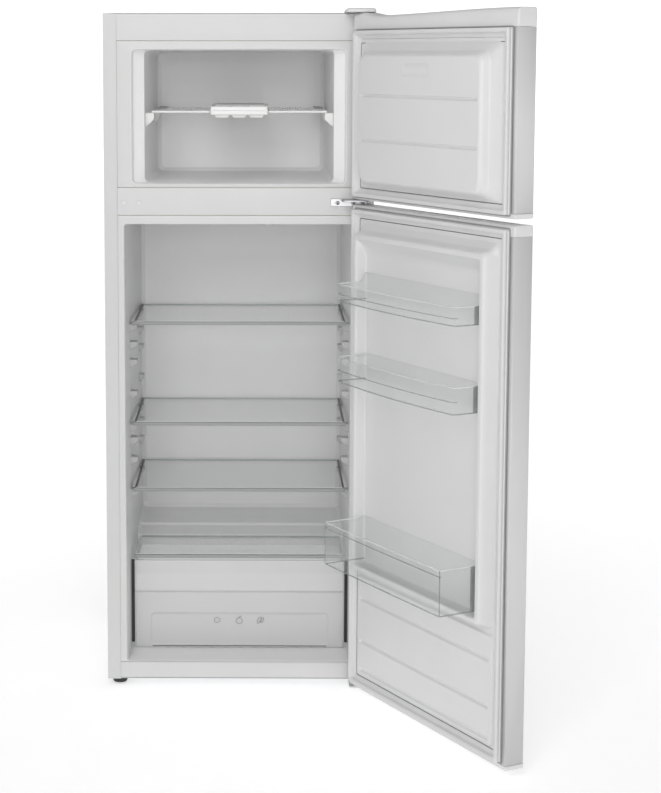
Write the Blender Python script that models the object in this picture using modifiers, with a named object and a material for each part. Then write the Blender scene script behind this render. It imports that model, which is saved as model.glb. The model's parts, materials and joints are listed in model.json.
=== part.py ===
"""Free-standing top freezer refrigerator with both doors standing open.

Metres, +Z up. The cabinet is modelled with its front plane at y = 0, its middle at x = 0 and the floor
at z = 0. Each door is modelled in a frame of its own, whose origin is on the hinge axis: local x runs
from the axis to the free edge, local y runs outwards through the door, and z is the height above the
floor. At the end the whole assembly is moved so that the middle of its footprint is at the origin.
"""

import math

import bmesh
import bpy
from mathutils import Matrix, Vector

MM = 0.001

# Driving dimensions of the cabinet.
CABINET_WIDTH = 545 * MM
CABINET_DEPTH = 446 * MM
BODY_BOTTOM = 18 * MM
BODY_TOP = 1391 * MM
HALF_WIDTH = CABINET_WIDTH / 2
SHEET = 0.8 * MM
GAP = 0.4 * MM
FRONT_RETURN = 27 * MM
FOAM_FRONT = 3.2 * MM
LINER_SHEET = 1.4 * MM
RAIL_SHEET = 1.8 * MM

# Heights of the horizontal bands on the cabinet's front.
BOTTOM_RAIL_TOP = 54.5 * MM
FRIDGE_MOUTH_TOP = 968 * MM
MIDDLE_RAIL_BOTTOM = 986 * MM
MIDDLE_RAIL_TOP = 1042.5 * MM
FREEZER_MOUTH_BOTTOM = 1050 * MM
FREEZER_MOUTH_TOP = 1319 * MM
TOP_RAIL_BOTTOM = 1336 * MM

# The two compartments.
FRIDGE_MOUTH_HALF = 232.3 * MM
FRIDGE_BACK_HALF = 222 * MM
FRIDGE_DEPTH = 390 * MM
FRIDGE_FLOOR = 54 * MM
HUMP_FRONT = 262 * MM
HUMP_TOP = 290 * MM
FREEZER_MOUTH_HALF = 214.7 * MM
FREEZER_INNER_HALF = 192 * MM
FREEZER_BACK_HALF = 182 * MM
FREEZER_DEPTH = 364 * MM
SHELF_FRONT = 88 * MM

# The compressor's room behind the hump.
ROOM_FRONT = 294 * MM
ROOM_TOP = 236 * MM
DECK_SHEET = 1.2 * MM

# The doors, shared by both.
DOOR_WIDTH = 545 * MM
HINGE_INSET = 18 * MM
HINGE_X = HALF_WIDTH - HINGE_INSET
HINGE_Y = -32.5 * MM
DOOR_INNER = -20 * MM
DOOR_OUTER = 20.3 * MM
DOOR_OPEN_DEGREES = 118.5
PIN_RADIUS = 4 * MM
PIN_HOLE_RADIUS = 4.6 * MM
GASKET_TIP = -32 * MM
HINGE_EDGE = -HINGE_INSET
FREE_EDGE = DOOR_WIDTH - HINGE_INSET
DOOR_MIDDLE = (HINGE_EDGE + FREE_EDGE) / 2

FREEZER_DOOR_BOTTOM = 1022 * MM
FREEZER_DOOR_TOP = 1391 * MM
FRIDGE_DOOR_BOTTOM = 18.2 * MM
FRIDGE_DOOR_TOP = 1011 * MM

# The doors' inner liners.
LINER_FACE = DOOR_INNER - 1.6 * MM
LINER_HALF = 241 * MM
PLUG_FACE = -50 * MM

# Shelves and fittings.
SHELF_HEIGHTS = (753 * MM, 540 * MM, 399 * MM)
GLASS_THICKNESS = 4 * MM
GLASS_HALF = 219 * MM
TRIM_HALF = 224 * MM
COVER_HEIGHT = 255.5 * MM
COVER_BACK = 254 * MM
FREEZER_SHELF_Z = 1193 * MM
FREEZER_SHELF_FRONT = 60 * MM
FREEZER_SHELF_BACK = 345 * MM
FREEZER_SHELF_HALF = 179 * MM
TRAY_HALF = 59 * MM
KNOB_AT = (60 * MM, 236 * MM)
CEILING_BOTTOM = 946 * MM

# The cooling system.
DRAIN_AT = (60 * MM, 406 * MM)
DRAIN_RADIUS = 7 * MM
DRAIN_TOP = 320 * MM
COMPRESSOR_AT = (120 * MM, 372 * MM)
ROOM_PLATE_TOP = BODY_BOTTOM + 3.4 * MM
COMPRESSOR_BOTTOM = ROOM_PLATE_TOP + 10 * MM
COMPRESSOR_RADIUS = 58 * MM
COMPRESSOR_HEIGHT = 128 * MM
CONDENSER_Y = CABINET_DEPTH + 14 * MM

CORNER_STEPS = 3

WHITE_STEEL = ("white_steel", (0.80, 0.80, 0.79), 0.35, 0.0)
WHITE_PLASTIC = ("white_plastic", (0.78, 0.78, 0.77), 0.45, 0.0)
LINER_PLASTIC = ("liner_plastic", (0.66, 0.67, 0.67), 0.45, 0.0)
FOAM = ("foam", (0.80, 0.72, 0.45), 0.9, 0.0)
GALVANISED = ("galvanised_steel", (0.50, 0.51, 0.52), 0.4, 1.0)
HINGE_STEEL = ("hinge_steel", (0.42, 0.42, 0.43), 0.35, 1.0)
BLACK_PLASTIC = ("black_plastic", (0.03, 0.03, 0.035), 0.5, 0.0)
BLACK_STEEL = ("black_steel", (0.03, 0.03, 0.03), 0.4, 0.0)
COPPER = ("copper", (0.62, 0.30, 0.17), 0.3, 1.0)
ALUMINIUM = ("aluminium", (0.70, 0.70, 0.71), 0.4, 1.0)
GLASS = ("shelf_glass", (0.72, 0.76, 0.75), 0.1, 0.0)
CLEAR_PLASTIC = ("clear_plastic", (0.74, 0.78, 0.77), 0.15, 0.0)
FROSTED_PLASTIC = ("frosted_plastic", (0.74, 0.75, 0.75), 0.4, 0.0)
TRIM_PLASTIC = ("trim_plastic", (0.55, 0.57, 0.57), 0.4, 0.0)
GASKET_RUBBER = ("gasket_rubber", (0.62, 0.63, 0.63), 0.7, 0.0)


def clear_scene():
    for obj in list(bpy.data.objects):
        bpy.data.objects.remove(obj, do_unlink=True)


def new_collection(name):
    collection = bpy.data.collections.new(name)
    bpy.context.scene.collection.children.link(collection)
    return collection


def new_empty(name, location, parent=None, turn=0.0):
    empty = bpy.data.objects.new(name, None)
    empty.location = location
    empty.rotation_euler = (0.0, 0.0, turn)
    empty.empty_display_size = 0.05
    empty.parent = parent
    PARTS.objects.link(empty)
    return empty


def material(recipe):
    name, colour, roughness, metallic = recipe
    if name in bpy.data.materials:
        return bpy.data.materials[name]
    made = bpy.data.materials.new(name)
    made.use_nodes = True
    shader = made.node_tree.nodes["Principled BSDF"]
    shader.inputs["Base Color"].default_value = (*colour, 1.0)
    shader.inputs["Roughness"].default_value = roughness
    shader.inputs["Metallic"].default_value = metallic
    return made


def object_from(bm, name, collection):
    mesh = bpy.data.meshes.new(name)
    bm.to_mesh(mesh)
    bm.free()
    obj = bpy.data.objects.new(name, mesh)
    collection.objects.link(obj)
    return obj


def part(bm, name, recipe, parent, smooth=False):
    """Makes the bmesh a named sub-part with its own material, under the given parent."""
    obj = object_from(bm, name, PARTS)
    obj.data.materials.append(material(recipe))
    obj.parent = parent
    if smooth:
        obj.data.shade_smooth()
        obj.data.set_sharp_from_angle(angle=math.radians(35))
    return obj


def add_box(bm, low, high):
    low, high = Vector(low), Vector(high)
    size = high - low
    place = Matrix.Translation((low + high) / 2) @ Matrix.Diagonal((*size, 1.0))
    return bmesh.ops.create_cube(bm, size=1.0, matrix=place)["verts"]


def add_rod(bm, centre, low, high, radius, segments=16, axis="Z"):
    """A cylinder along one axis, from low to high along it. centre gives its other two coordinates."""
    middle = (low + high) / 2
    if axis == "Z":
        place = Matrix.Translation((centre[0], centre[1], middle))
    elif axis == "Y":
        place = Matrix.Translation((centre[0], middle, centre[1])) @ Matrix.Rotation(math.pi / 2, 4, "X")
    else:
        place = Matrix.Translation((middle, centre[0], centre[1])) @ Matrix.Rotation(math.pi / 2, 4, "Y")
    bmesh.ops.create_cone(
        bm,
        cap_ends=True,
        segments=segments,
        radius1=radius,
        radius2=radius,
        depth=high - low,
        matrix=place,
    )


def box_part(name, low, high, recipe, parent):
    bm = bmesh.new()
    add_box(bm, low, high)
    return part(bm, name, recipe, parent)


def helper_box(name, low, high, parent):
    bm = bmesh.new()
    add_box(bm, low, high)
    return helper(bm, name, parent)


def helper(bm, name, parent):
    """A cutter, or a shape to be joined on: drawn as wire, and never rendered."""
    obj = object_from(bm, name, CUTTERS)
    obj.parent = parent
    obj.hide_render = True
    obj.display_type = "WIRE"
    return obj


def boolean(obj, other, operation="DIFFERENCE"):
    modifier = obj.modifiers.new(other.name, "BOOLEAN")
    modifier.operation = operation
    modifier.object = other
    modifier.solver = "EXACT"


def solidify(obj, thickness, even=True):
    """Thickens an open surface on the side that its normals point away from."""
    modifier = obj.modifiers.new("Sheet", "SOLIDIFY")
    modifier.thickness = thickness
    modifier.offset = -1.0
    modifier.use_even_offset = even


def bevel(obj, width, segments=1):
    modifier = obj.modifiers.new("Edges", "BEVEL")
    modifier.width = width
    modifier.segments = segments
    modifier.limit_method = "ANGLE"
    modifier.angle_limit = math.radians(50)


def rounded_rectangle(x_low, x_high, z_low, z_high, y, radius):
    """Points round a rectangle in the plane at y, with round corners, anticlockwise seen from the front."""
    centres = (
        (x_high - radius, z_low + radius, -90),
        (x_high - radius, z_high - radius, 0),
        (x_low + radius, z_high - radius, 90),
        (x_low + radius, z_low + radius, 180),
    )
    points = []
    for x, z, start in centres:
        for step in range(CORNER_STEPS + 1):
            turn = math.radians(start + 90 * step / CORNER_STEPS)
            points.append(Vector((x + radius * math.cos(turn), y, z + radius * math.sin(turn))))
    return points


def grow(ring, amount):
    """A ring's sizes (x_low, x_high, z_low, z_high, y, radius), moved outwards all round by amount."""
    x_low, x_high, z_low, z_high, y, radius = ring
    return (x_low - amount, x_high + amount, z_low - amount, z_high + amount, y, radius + amount)


def skin_over(rings, close_front=False):
    """A surface through rounded rectangles, closed at the last one, its normals on the open side."""
    bm = bmesh.new()
    loops = [[bm.verts.new(point) for point in rounded_rectangle(*ring)] for ring in rings]
    for front, behind in zip(loops, loops[1:]):
        for index in range(len(front)):
            following = (index + 1) % len(front)
            bm.faces.new((front[index], front[following], behind[following], behind[index]))
    bm.faces.new(loops[-1])
    if close_front:
        bm.faces.new(list(reversed(loops[0])))
        bmesh.ops.recalc_face_normals(bm, faces=bm.faces)
    return bm


# ---------------------------------------------------------------- cabinet


def outer_casing(parent):
    """Sides and top folded from one sheet, with a return flange down each side of the front."""
    bm = bmesh.new()
    add_box(bm, (-HALF_WIDTH, 0, BODY_BOTTOM), (HALF_WIDTH, CABINET_DEPTH, BODY_TOP))
    unwanted = [face for face in bm.faces if abs(face.normal.y) > 0.5 or face.normal.z < -0.5]
    bmesh.ops.delete(bm, geom=unwanted, context="FACES")
    for side in (-1, 1):
        edge = [
            edge
            for edge in bm.edges
            if all(abs(v.co.y) < SHEET and v.co.x * side > 0 for v in edge.verts)
        ]
        extruded = bmesh.ops.extrude_edge_only(bm, edges=edge)["geom"]
        moved = [item for item in extruded if isinstance(item, bmesh.types.BMVert)]
        bmesh.ops.translate(bm, verts=moved, vec=(-side * FRONT_RETURN, 0, 0))
        top = max(moved, key=lambda vert: vert.co.z)
        top.co.z -= 2 * SHEET
    bmesh.ops.recalc_face_normals(bm, faces=bm.faces)
    obj = part(bm, "outer_casing", WHITE_STEEL, parent)
    solidify(obj, SHEET)
    return obj


def back_panel(parent):
    low = (-HALF_WIDTH + SHEET + GAP, CABINET_DEPTH - 1.2 * MM, ROOM_TOP + DECK_SHEET + GAP)
    high = (HALF_WIDTH - SHEET - GAP, CABINET_DEPTH, BODY_TOP - SHEET - GAP)
    box_part("back_panel", low, high, GALVANISED, parent)


def base_deck(parent):
    """The floor sheet, stepped up over the compressor's room."""
    half = HALF_WIDTH - SHEET - GAP
    profile = (
        (FOAM_FRONT, BODY_BOTTOM + DECK_SHEET),
        (ROOM_FRONT, BODY_BOTTOM + DECK_SHEET),
        (ROOM_FRONT, ROOM_TOP),
        (CABINET_DEPTH - 2 * MM, ROOM_TOP),
    )
    bm = bmesh.new()
    line = [bm.verts.new((-half, y, z)) for y, z in profile]
    edges = [bm.edges.new(pair) for pair in zip(line, line[1:])]
    extruded = bmesh.ops.extrude_edge_only(bm, edges=edges)["geom"]
    moved = [item for item in extruded if isinstance(item, bmesh.types.BMVert)]
    bmesh.ops.translate(bm, verts=moved, vec=(2 * half, 0, 0))
    bmesh.ops.recalc_face_normals(bm, faces=bm.faces)
    if next(iter(bm.faces)).normal.z < 0:
        bmesh.ops.reverse_faces(bm, faces=bm.faces)
    obj = part(bm, "base_deck", GALVANISED, parent)
    solidify(obj, DECK_SHEET)


def fridge_rings():
    """The fresh-food compartment from its front flange to its back wall."""
    mouth, back = FRIDGE_MOUTH_HALF, FRIDGE_BACK_HALF
    flange = HALF_WIDTH - FRONT_RETURN - GAP
    inner_top = FRIDGE_MOUTH_TOP
    return [
        (-flange, flange, BOTTOM_RAIL_TOP + GAP, MIDDLE_RAIL_BOTTOM - GAP, 0, 1 * MM),
        (-mouth - 1 * MM, mouth + 1 * MM, 55.8 * MM, inner_top + 1 * MM, 0.2 * MM, 6 * MM),
        (-mouth, mouth, 56.2 * MM, inner_top, 2 * MM, 6 * MM),
        (-mouth + 0.5 * MM, mouth - 0.5 * MM, 56.4 * MM, inner_top - 0.5 * MM, 20 * MM, 7 * MM),
        (-mouth + 0.9 * MM, mouth - 0.9 * MM, 54.6 * MM, inner_top - 0.9 * MM, 34 * MM, 7 * MM),
        (-mouth + 1.6 * MM, mouth - 1.6 * MM, FRIDGE_FLOOR, inner_top - 1.6 * MM, 60 * MM, 8 * MM),
        (-mouth + 6.5 * MM, mouth - 6.5 * MM, FRIDGE_FLOOR, inner_top - 6 * MM, 248 * MM, 9 * MM),
        (-mouth + 6.5 * MM, mouth - 6.5 * MM, 258 * MM, inner_top - 6 * MM, HUMP_FRONT, 9 * MM),
        (-back - 2 * MM, back + 2 * MM, HUMP_TOP - 4 * MM, inner_top - 9 * MM, 352 * MM, 10 * MM),
        (-back, back, HUMP_TOP, inner_top - 11 * MM, FRIDGE_DEPTH - 8 * MM, 14 * MM),
        (-back + 8 * MM, back - 8 * MM, HUMP_TOP + 8 * MM, inner_top - 19 * MM, FRIDGE_DEPTH, 12 * MM),
    ]


def freezer_rings():
    """The freezing compartment. Its sides step in behind the collar that the door's plug enters."""
    mouth, inner, back = FREEZER_MOUTH_HALF, FREEZER_INNER_HALF, FREEZER_BACK_HALF
    flange = HALF_WIDTH - FRONT_RETURN - GAP
    floor, top = FREEZER_MOUTH_BOTTOM, FREEZER_MOUTH_TOP
    return [
        (-flange, flange, MIDDLE_RAIL_TOP + GAP, TOP_RAIL_BOTTOM - GAP, 0, 1 * MM),
        (-mouth - 1.5 * MM, mouth + 1.5 * MM, floor - 1.5 * MM, top + 1.5 * MM, 0.2 * MM, 9 * MM),
        (-mouth, mouth, floor, top, 3 * MM, 9 * MM),
        (-mouth + 1 * MM, mouth - 1 * MM, floor + 0.5 * MM, top - 0.5 * MM, 21 * MM, 9 * MM),
        (-inner, inner, floor + 1 * MM, top - 1 * MM, 36 * MM, 10 * MM),
        (-back, back, floor + 4 * MM, top - 5 * MM, FREEZER_DEPTH - 8 * MM, 14 * MM),
        (-back + 8 * MM, back - 8 * MM, floor + 12 * MM, top - 13 * MM, FREEZER_DEPTH, 10 * MM),
    ]


def side_at(rings, depth):
    """The compartment's half width at a depth, along straight lines between its rings."""
    for front, behind in zip(rings, rings[1:]):
        if front[4] <= depth <= behind[4] and behind[4] > front[4]:
            share = (depth - front[4]) / (behind[4] - front[4])
            return front[1] + share * (behind[1] - front[1])
    raise ValueError("depth is outside the compartment")


def lugs(name, rings, heights, depths, reach, parent):
    """Moulded lugs on both side walls, which the shelves rest on. heights are the undersides of the shelves."""
    bm = bmesh.new()
    for height in heights:
        for depth in depths:
            wall = side_at(rings, depth) + LINER_SHEET / 2
            for side in (-1, 1):
                xs = sorted((side * reach, side * wall))
                add_box(
                    bm,
                    (xs[0], depth - 14 * MM, height - 9 * MM),
                    (xs[1], depth + 14 * MM, height - GAP),
                )
    return helper(bm, name, parent)


def liner(name, rings, supports, parent):
    obj = part(skin_over(rings), name, LINER_PLASTIC, parent, smooth=True)
    solidify(obj, LINER_SHEET, even=False)
    boolean(obj, supports, "UNION")


def cabinet_foam(parent):
    """Everything between the casing and the liners, with room left for the pieces buried in it."""
    half = HALF_WIDTH - SHEET - GAP
    low = (-half, FOAM_FRONT, BODY_BOTTOM + 2 * DECK_SHEET)
    high = (half, CABINET_DEPTH - 2 * MM, BODY_TOP - SHEET - GAP)
    obj = box_part("cabinet_foam", low, high, FOAM, parent)
    clearance = LINER_SHEET + 2 * GAP
    spaces = (("fridge_space", fridge_rings(), 200 * MM), ("freezer_space", freezer_rings(), 20 * MM))
    for name, rings, narrowing_from in spaces:
        grown = [grow(ring, clearance) for ring in rings[2:]]
        for index, ring in enumerate(grown):
            if ring[4] > narrowing_from:
                grown[index] = (*ring[:4], ring[4] + clearance, ring[5])
        grown[0] = (*grown[0][:4], -2 * MM, grown[0][5])
        boolean(obj, helper(skin_over(grown, close_front=True), name, parent))
    room_low = (-half - 2 * MM, ROOM_FRONT - DECK_SHEET - GAP, 0)
    room_high = (half + 2 * MM, CABINET_DEPTH + 2 * MM, ROOM_TOP + DECK_SHEET + GAP)
    boolean(obj, helper_box("room_space", room_low, room_high, parent))
    plate_low, plate_high = evaporator_box(GAP)
    plate_low.y = FRIDGE_DEPTH
    boolean(obj, helper_box("evaporator_space", plate_low, plate_high, parent))
    bm = bmesh.new()
    add_rod(bm, DRAIN_AT, ROOM_TOP - 10 * MM, DRAIN_TOP + GAP, DRAIN_RADIUS + GAP, 12)
    boolean(obj, helper(bm, "drain_space", parent))


def rails(parent):
    half = HALF_WIDTH - FRONT_RETURN - GAP
    bands = (
        ("top_rail", TOP_RAIL_BOTTOM + GAP, BODY_TOP - SHEET - GAP),
        ("middle_rail", MIDDLE_RAIL_BOTTOM, MIDDLE_RAIL_TOP),
        ("bottom_rail", BODY_BOTTOM + 2.8 * MM, BOTTOM_RAIL_TOP - GAP),
    )
    for name, bottom, top in bands:
        box_part(name, (-half, 0, bottom), (half, RAIL_SHEET, top), WHITE_PLASTIC, parent)


# ---------------------------------------------------------------- hinges and feet


def top_hinge(parent):
    plate_bottom = BODY_TOP + GAP
    plate_top = plate_bottom + 3 * MM
    obj = box_part(
        "top_hinge",
        (HINGE_X - 36 * MM, HINGE_Y - 9 * MM, plate_bottom),
        (HINGE_X + 12 * MM, 62 * MM, plate_top),
        HINGE_STEEL,
        parent,
    )
    bm = bmesh.new()
    add_rod(bm, (HINGE_X, HINGE_Y), BODY_TOP - 12 * MM, plate_bottom + 1 * MM, PIN_RADIUS)
    boolean(obj, helper(bm, "top_hinge_pin", parent), "UNION")


def top_hinge_cover(parent):
    """A cap over the top hinge, open underneath and at the front edge where the bracket reaches out."""
    low = (HINGE_X - 42 * MM, HINGE_Y - 15 * MM, BODY_TOP + GAP)
    high = (HALF_WIDTH - 0.5 * MM, 68 * MM, BODY_TOP + 9 * MM)
    obj = box_part("top_hinge_cover", low, high, WHITE_PLASTIC, parent)
    bevel(obj, 3 * MM, 2)
    wall = 1.6 * MM
    inside_low = (low[0] + wall, low[1] + wall, low[2] - 2 * MM)
    inside_high = (high[0] - wall, high[1] - wall, high[2] - wall)
    boolean(obj, helper_box("hinge_cover_space", inside_low, inside_high, parent))


def middle_hinge(parent):
    """The plate on the middle rail, the arm between the two doors, and the pin that both doors turn on."""
    obj = box_part(
        "middle_hinge",
        (185 * MM, -2.6 * MM, 1005 * MM),
        (246 * MM, -GAP, 1020 * MM),
        HINGE_STEEL,
        parent,
    )
    arm_low = (206 * MM, HINGE_Y - 8 * MM, 1016.8 * MM)
    arm_high = (HINGE_X + 7 * MM, -1 * MM, 1019.8 * MM)
    boolean(obj, helper_box("middle_hinge_arm", arm_low, arm_high, parent), "UNION")
    bm = bmesh.new()
    add_rod(bm, (HINGE_X, HINGE_Y), FRIDGE_DOOR_TOP - 10 * MM, FREEZER_DOOR_BOTTOM + 6 * MM, PIN_RADIUS)
    boolean(obj, helper(bm, "middle_hinge_pin", parent), "UNION")


def middle_hinge_screws(parent):
    for number, x in enumerate((199 * MM, 231 * MM), start=1):
        bm = bmesh.new()
        add_rod(bm, (x, 1011.6 * MM), -5.4 * MM, -3 * MM, 4.4 * MM, 12, axis="Y")
        part(bm, f"middle_hinge_screw_{number}", HINGE_STEEL, parent, smooth=True)


def hinge_hole_plugs(parent):
    """Caps in the spare hinge holes, for hanging the doors on the other side."""
    for number, x in enumerate((-233 * MM, -202 * MM), start=1):
        bm = bmesh.new()
        add_rod(bm, (x, 1011 * MM), -1.8 * MM, -GAP, 4.6 * MM, 12, axis="Y")
        part(bm, f"hinge_hole_plug_{number}", WHITE_PLASTIC, parent, smooth=True)


def bottom_hinge(parent):
    obj = box_part(
        "bottom_hinge",
        (HINGE_X - 44 * MM, HINGE_Y - 9 * MM, 14 * MM),
        (HINGE_X + 10 * MM, 20 * MM, 17.4 * MM),
        BLACK_STEEL,
        parent,
    )
    bm = bmesh.new()
    add_rod(bm, (HINGE_X, HINGE_Y), 15 * MM, FRIDGE_DOOR_BOTTOM + 6 * MM, PIN_RADIUS)
    boolean(obj, helper(bm, "bottom_hinge_pin", parent), "UNION")


def front_feet(parent):
    """Levelling feet: each a round pad on a screw, turning on its own vertical axis."""
    profile = ((0, 17.4), (5, 17.4), (5, 9), (14, 8), (14.5, 1), (13, 0), (0, 0))
    for name, side in (("left", -1), ("right", 1)):
        axis = new_empty(f"front_foot_{name}_axis", (side * 250 * MM, 42 * MM, 0), parent)
        bm = bmesh.new()
        line = [bm.verts.new((radius * MM, 0, height * MM)) for radius, height in profile]
        for pair in zip(line, line[1:]):
            bm.edges.new(pair)
        obj = part(bm, f"front_foot_{name}", BLACK_PLASTIC, axis, smooth=True)
        screw = obj.modifiers.new("Turned", "SCREW")
        screw.steps = 20
        screw.render_steps = 20
        screw.use_merge_vertices = True
        screw.merge_threshold = 0.00002


def rear_feet(parent):
    for name, side in (("left", -1), ("right", 1)):
        low = (side * 248 * MM - 14 * MM, 396 * MM, 0)
        high = (side * 248 * MM + 14 * MM, 424 * MM, BODY_BOTTOM)
        obj = box_part(f"rear_foot_{name}", low, high, BLACK_PLASTIC, parent)
        bevel(obj, 2 * MM)


# ---------------------------------------------------------------- cooling system


def evaporator_box(clearance):
    """The cold plate behind the fridge's back wall, with a clearance all round."""
    low = Vector((-160 * MM, FRIDGE_DEPTH + LINER_SHEET + GAP, 560 * MM))
    high = Vector((160 * MM, FRIDGE_DEPTH + LINER_SHEET + GAP + 1.4 * MM, 900 * MM))
    margin = Vector((clearance, clearance, clearance))
    return low - margin, high + margin


def evaporator_plate(parent):
    low, high = evaporator_box(0)
    box_part("evaporator_plate", low, high, ALUMINIUM, parent)


def drain_tube(parent):
    """Carries defrost water from behind the back wall down to the tray on the compressor."""
    bm = bmesh.new()
    add_rod(bm, DRAIN_AT, 190 * MM, DRAIN_TOP, DRAIN_RADIUS, 12)
    obj = part(bm, "drain_tube", WHITE_PLASTIC, parent, smooth=True)
    bore = bmesh.new()
    add_rod(bore, DRAIN_AT, 180 * MM, DRAIN_TOP + 10 * MM, DRAIN_RADIUS - 1.5 * MM, 12)
    boolean(obj, helper(bore, "drain_bore", parent))
    deck_hole = bmesh.new()
    add_rod(deck_hole, DRAIN_AT, ROOM_TOP - 6 * MM, ROOM_TOP + 6 * MM, DRAIN_RADIUS + GAP, 12)
    boolean(bpy.data.objects["base_deck"], helper(deck_hole, "deck_hole", parent))


def compressor_mount_plate(parent):
    half = HALF_WIDTH - SHEET - GAP
    low = (-half, 318 * MM, BODY_BOTTOM + 1.4 * MM)
    high = (half, CABINET_DEPTH - 8 * MM, ROOM_PLATE_TOP)
    box_part("compressor_mount_plate", low, high, GALVANISED, parent)


def compressor(parent):
    """A welded steel can: a turned body with domed ends, standing on its rubber ring."""
    steps = 5
    dome = 30 * MM
    outline = [(0.0, COMPRESSOR_HEIGHT)]
    for step in range(1, steps + 1):
        turn = math.radians(90 * step / steps)
        height = COMPRESSOR_HEIGHT - dome + dome * math.cos(turn)
        outline.append((COMPRESSOR_RADIUS * math.sin(turn), height))
    outline += [(COMPRESSOR_RADIUS, 22 * MM), (44 * MM, 0.0), (0.0, 0.0)]
    axis = new_empty("compressor_axis", (*COMPRESSOR_AT, COMPRESSOR_BOTTOM), parent)
    bm = bmesh.new()
    line = [bm.verts.new((radius, 0, height)) for radius, height in outline]
    for pair in zip(line, line[1:]):
        bm.edges.new(pair)
    obj = part(bm, "compressor", BLACK_STEEL, axis, smooth=True)
    screw = obj.modifiers.new("Turned", "SCREW")
    screw.steps = 24
    screw.render_steps = 24
    screw.use_merge_vertices = True
    screw.merge_threshold = 0.00002


def compressor_relay_box(parent):
    x, y = COMPRESSOR_AT
    left = x - COMPRESSOR_RADIUS - 40 * MM
    low = (left, y - 26 * MM, COMPRESSOR_BOTTOM + 40 * MM)
    high = (x - COMPRESSOR_RADIUS - 1 * MM, y + 26 * MM, COMPRESSOR_BOTTOM + 98 * MM)
    obj = box_part("compressor_relay_box", low, high, BLACK_PLASTIC, parent)
    bevel(obj, 4 * MM, 2)


def open_tray(name, low, high, wall, recipe, parent):
    """A rectangular pan that is open at the top."""
    bm = bmesh.new()
    add_box(bm, low, high)
    top = [face for face in bm.faces if face.normal.z > 0.5]
    bmesh.ops.delete(bm, geom=top, context="FACES")
    obj = part(bm, name, recipe, parent)
    solidify(obj, wall)
    return obj


def evaporation_tray(parent):
    x, y = COMPRESSOR_AT
    bottom = COMPRESSOR_BOTTOM + COMPRESSOR_HEIGHT + GAP
    low = (x - 85 * MM, y - 46 * MM, bottom)
    high = (x + 60 * MM, y + 56 * MM, bottom + 24 * MM)
    open_tray("evaporation_tray", low, high, 1.6 * MM, BLACK_PLASTIC, parent)


def tube_object(name, points, radius, recipe, parent, resolution=2):
    """A round tube or wire along a list of points, made a mesh with its end caps welded on."""
    curve = bpy.data.curves.new(name, "CURVE")
    curve.dimensions = "3D"
    curve.bevel_depth = radius
    curve.bevel_resolution = resolution
    curve.use_fill_caps = True
    spline = curve.splines.new("POLY")
    spline.points.add(len(points) - 1)
    for target, point in zip(spline.points, points):
        target.co = (*point, 1.0)
    guide = bpy.data.objects.new(name + "_curve", curve)
    CUTTERS.objects.link(guide)
    graph = bpy.context.evaluated_depsgraph_get()
    mesh = bpy.data.meshes.new_from_object(guide.evaluated_get(graph))
    bpy.data.objects.remove(guide, do_unlink=True)
    bm = bmesh.new()
    bm.from_mesh(mesh)
    bmesh.ops.remove_doubles(bm, verts=bm.verts, dist=0.00002)
    bmesh.ops.recalc_face_normals(bm, faces=bm.faces)
    bpy.data.meshes.remove(mesh)
    return part(bm, name, recipe, parent, smooth=True)


def condenser_tube(parent):
    """One tube folded to and fro across the back."""
    half, rows, pitch, bottom = 205 * MM, 10, 82 * MM, 372 * MM
    bend = pitch / 2
    points = []
    for row in range(rows):
        height = bottom + row * pitch
        side = 1 if row % 2 == 0 else -1
        points.append(Vector((-side * (half - bend), CONDENSER_Y, height)))
        points.append(Vector((side * (half - bend), CONDENSER_Y, height)))
        if row == rows - 1:
            break
        for step in range(1, 6):
            turn = math.radians(-90 + 30 * step)
            x = side * (half - bend + bend * math.cos(turn))
            points.append(Vector((x, CONDENSER_Y, height + bend + bend * math.sin(turn))))
    points.insert(0, Vector((-(half - bend), CONDENSER_Y, 250 * MM)))
    tube_object("condenser_tube", points, 2.4 * MM, BLACK_STEEL, parent)


def condenser_plate(parent):
    """The finned sheet that the condenser tube is clipped to, on four feet against the back panel."""
    low = (-215 * MM, CABINET_DEPTH + 8 * MM, 352 * MM)
    high = (215 * MM, CABINET_DEPTH + 9.2 * MM, 1130 * MM)
    obj = box_part("condenser_plate", low, high, BLACK_STEEL, parent)
    bm = bmesh.new()
    for x in (-190 * MM, 190 * MM):
        for z in (380 * MM, 1102 * MM):
            foot_low = (x - 8 * MM, CABINET_DEPTH + GAP, z - 12 * MM)
            add_box(bm, foot_low, (x + 8 * MM, CABINET_DEPTH + 8.6 * MM, z + 12 * MM))
    boolean(obj, helper(bm, "condenser_feet", parent), "UNION")


def filter_drier(parent):
    bm = bmesh.new()
    add_rod(bm, (-60 * MM, 404 * MM), 60 * MM, 170 * MM, 9 * MM, 14)
    part(bm, "filter_drier", COPPER, parent, smooth=True)


def cable_gland(parent):
    """Where the mains lead enters the compressor's room: a bush in the mount plate's upstand."""
    bm = bmesh.new()
    add_rod(bm, (-170 * MM, 60 * MM), 402 * MM, 430 * MM, 10 * MM, 16, axis="Y")
    obj = part(bm, "cable_gland", BLACK_PLASTIC, parent, smooth=True)
    bore = bmesh.new()
    add_rod(bore, (-170 * MM, 60 * MM), 395 * MM, 440 * MM, 4 * MM, 12, axis="Y")
    boolean(obj, helper(bore, "gland_bore", parent))
    stand_low = (-182 * MM, 408 * MM, ROOM_PLATE_TOP + GAP)
    stand_high = (-158 * MM, 414 * MM, 56 * MM)
    boolean(obj, helper_box("gland_stand", stand_low, stand_high, parent), "UNION")


# ---------------------------------------------------------------- inside the compartments


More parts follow.
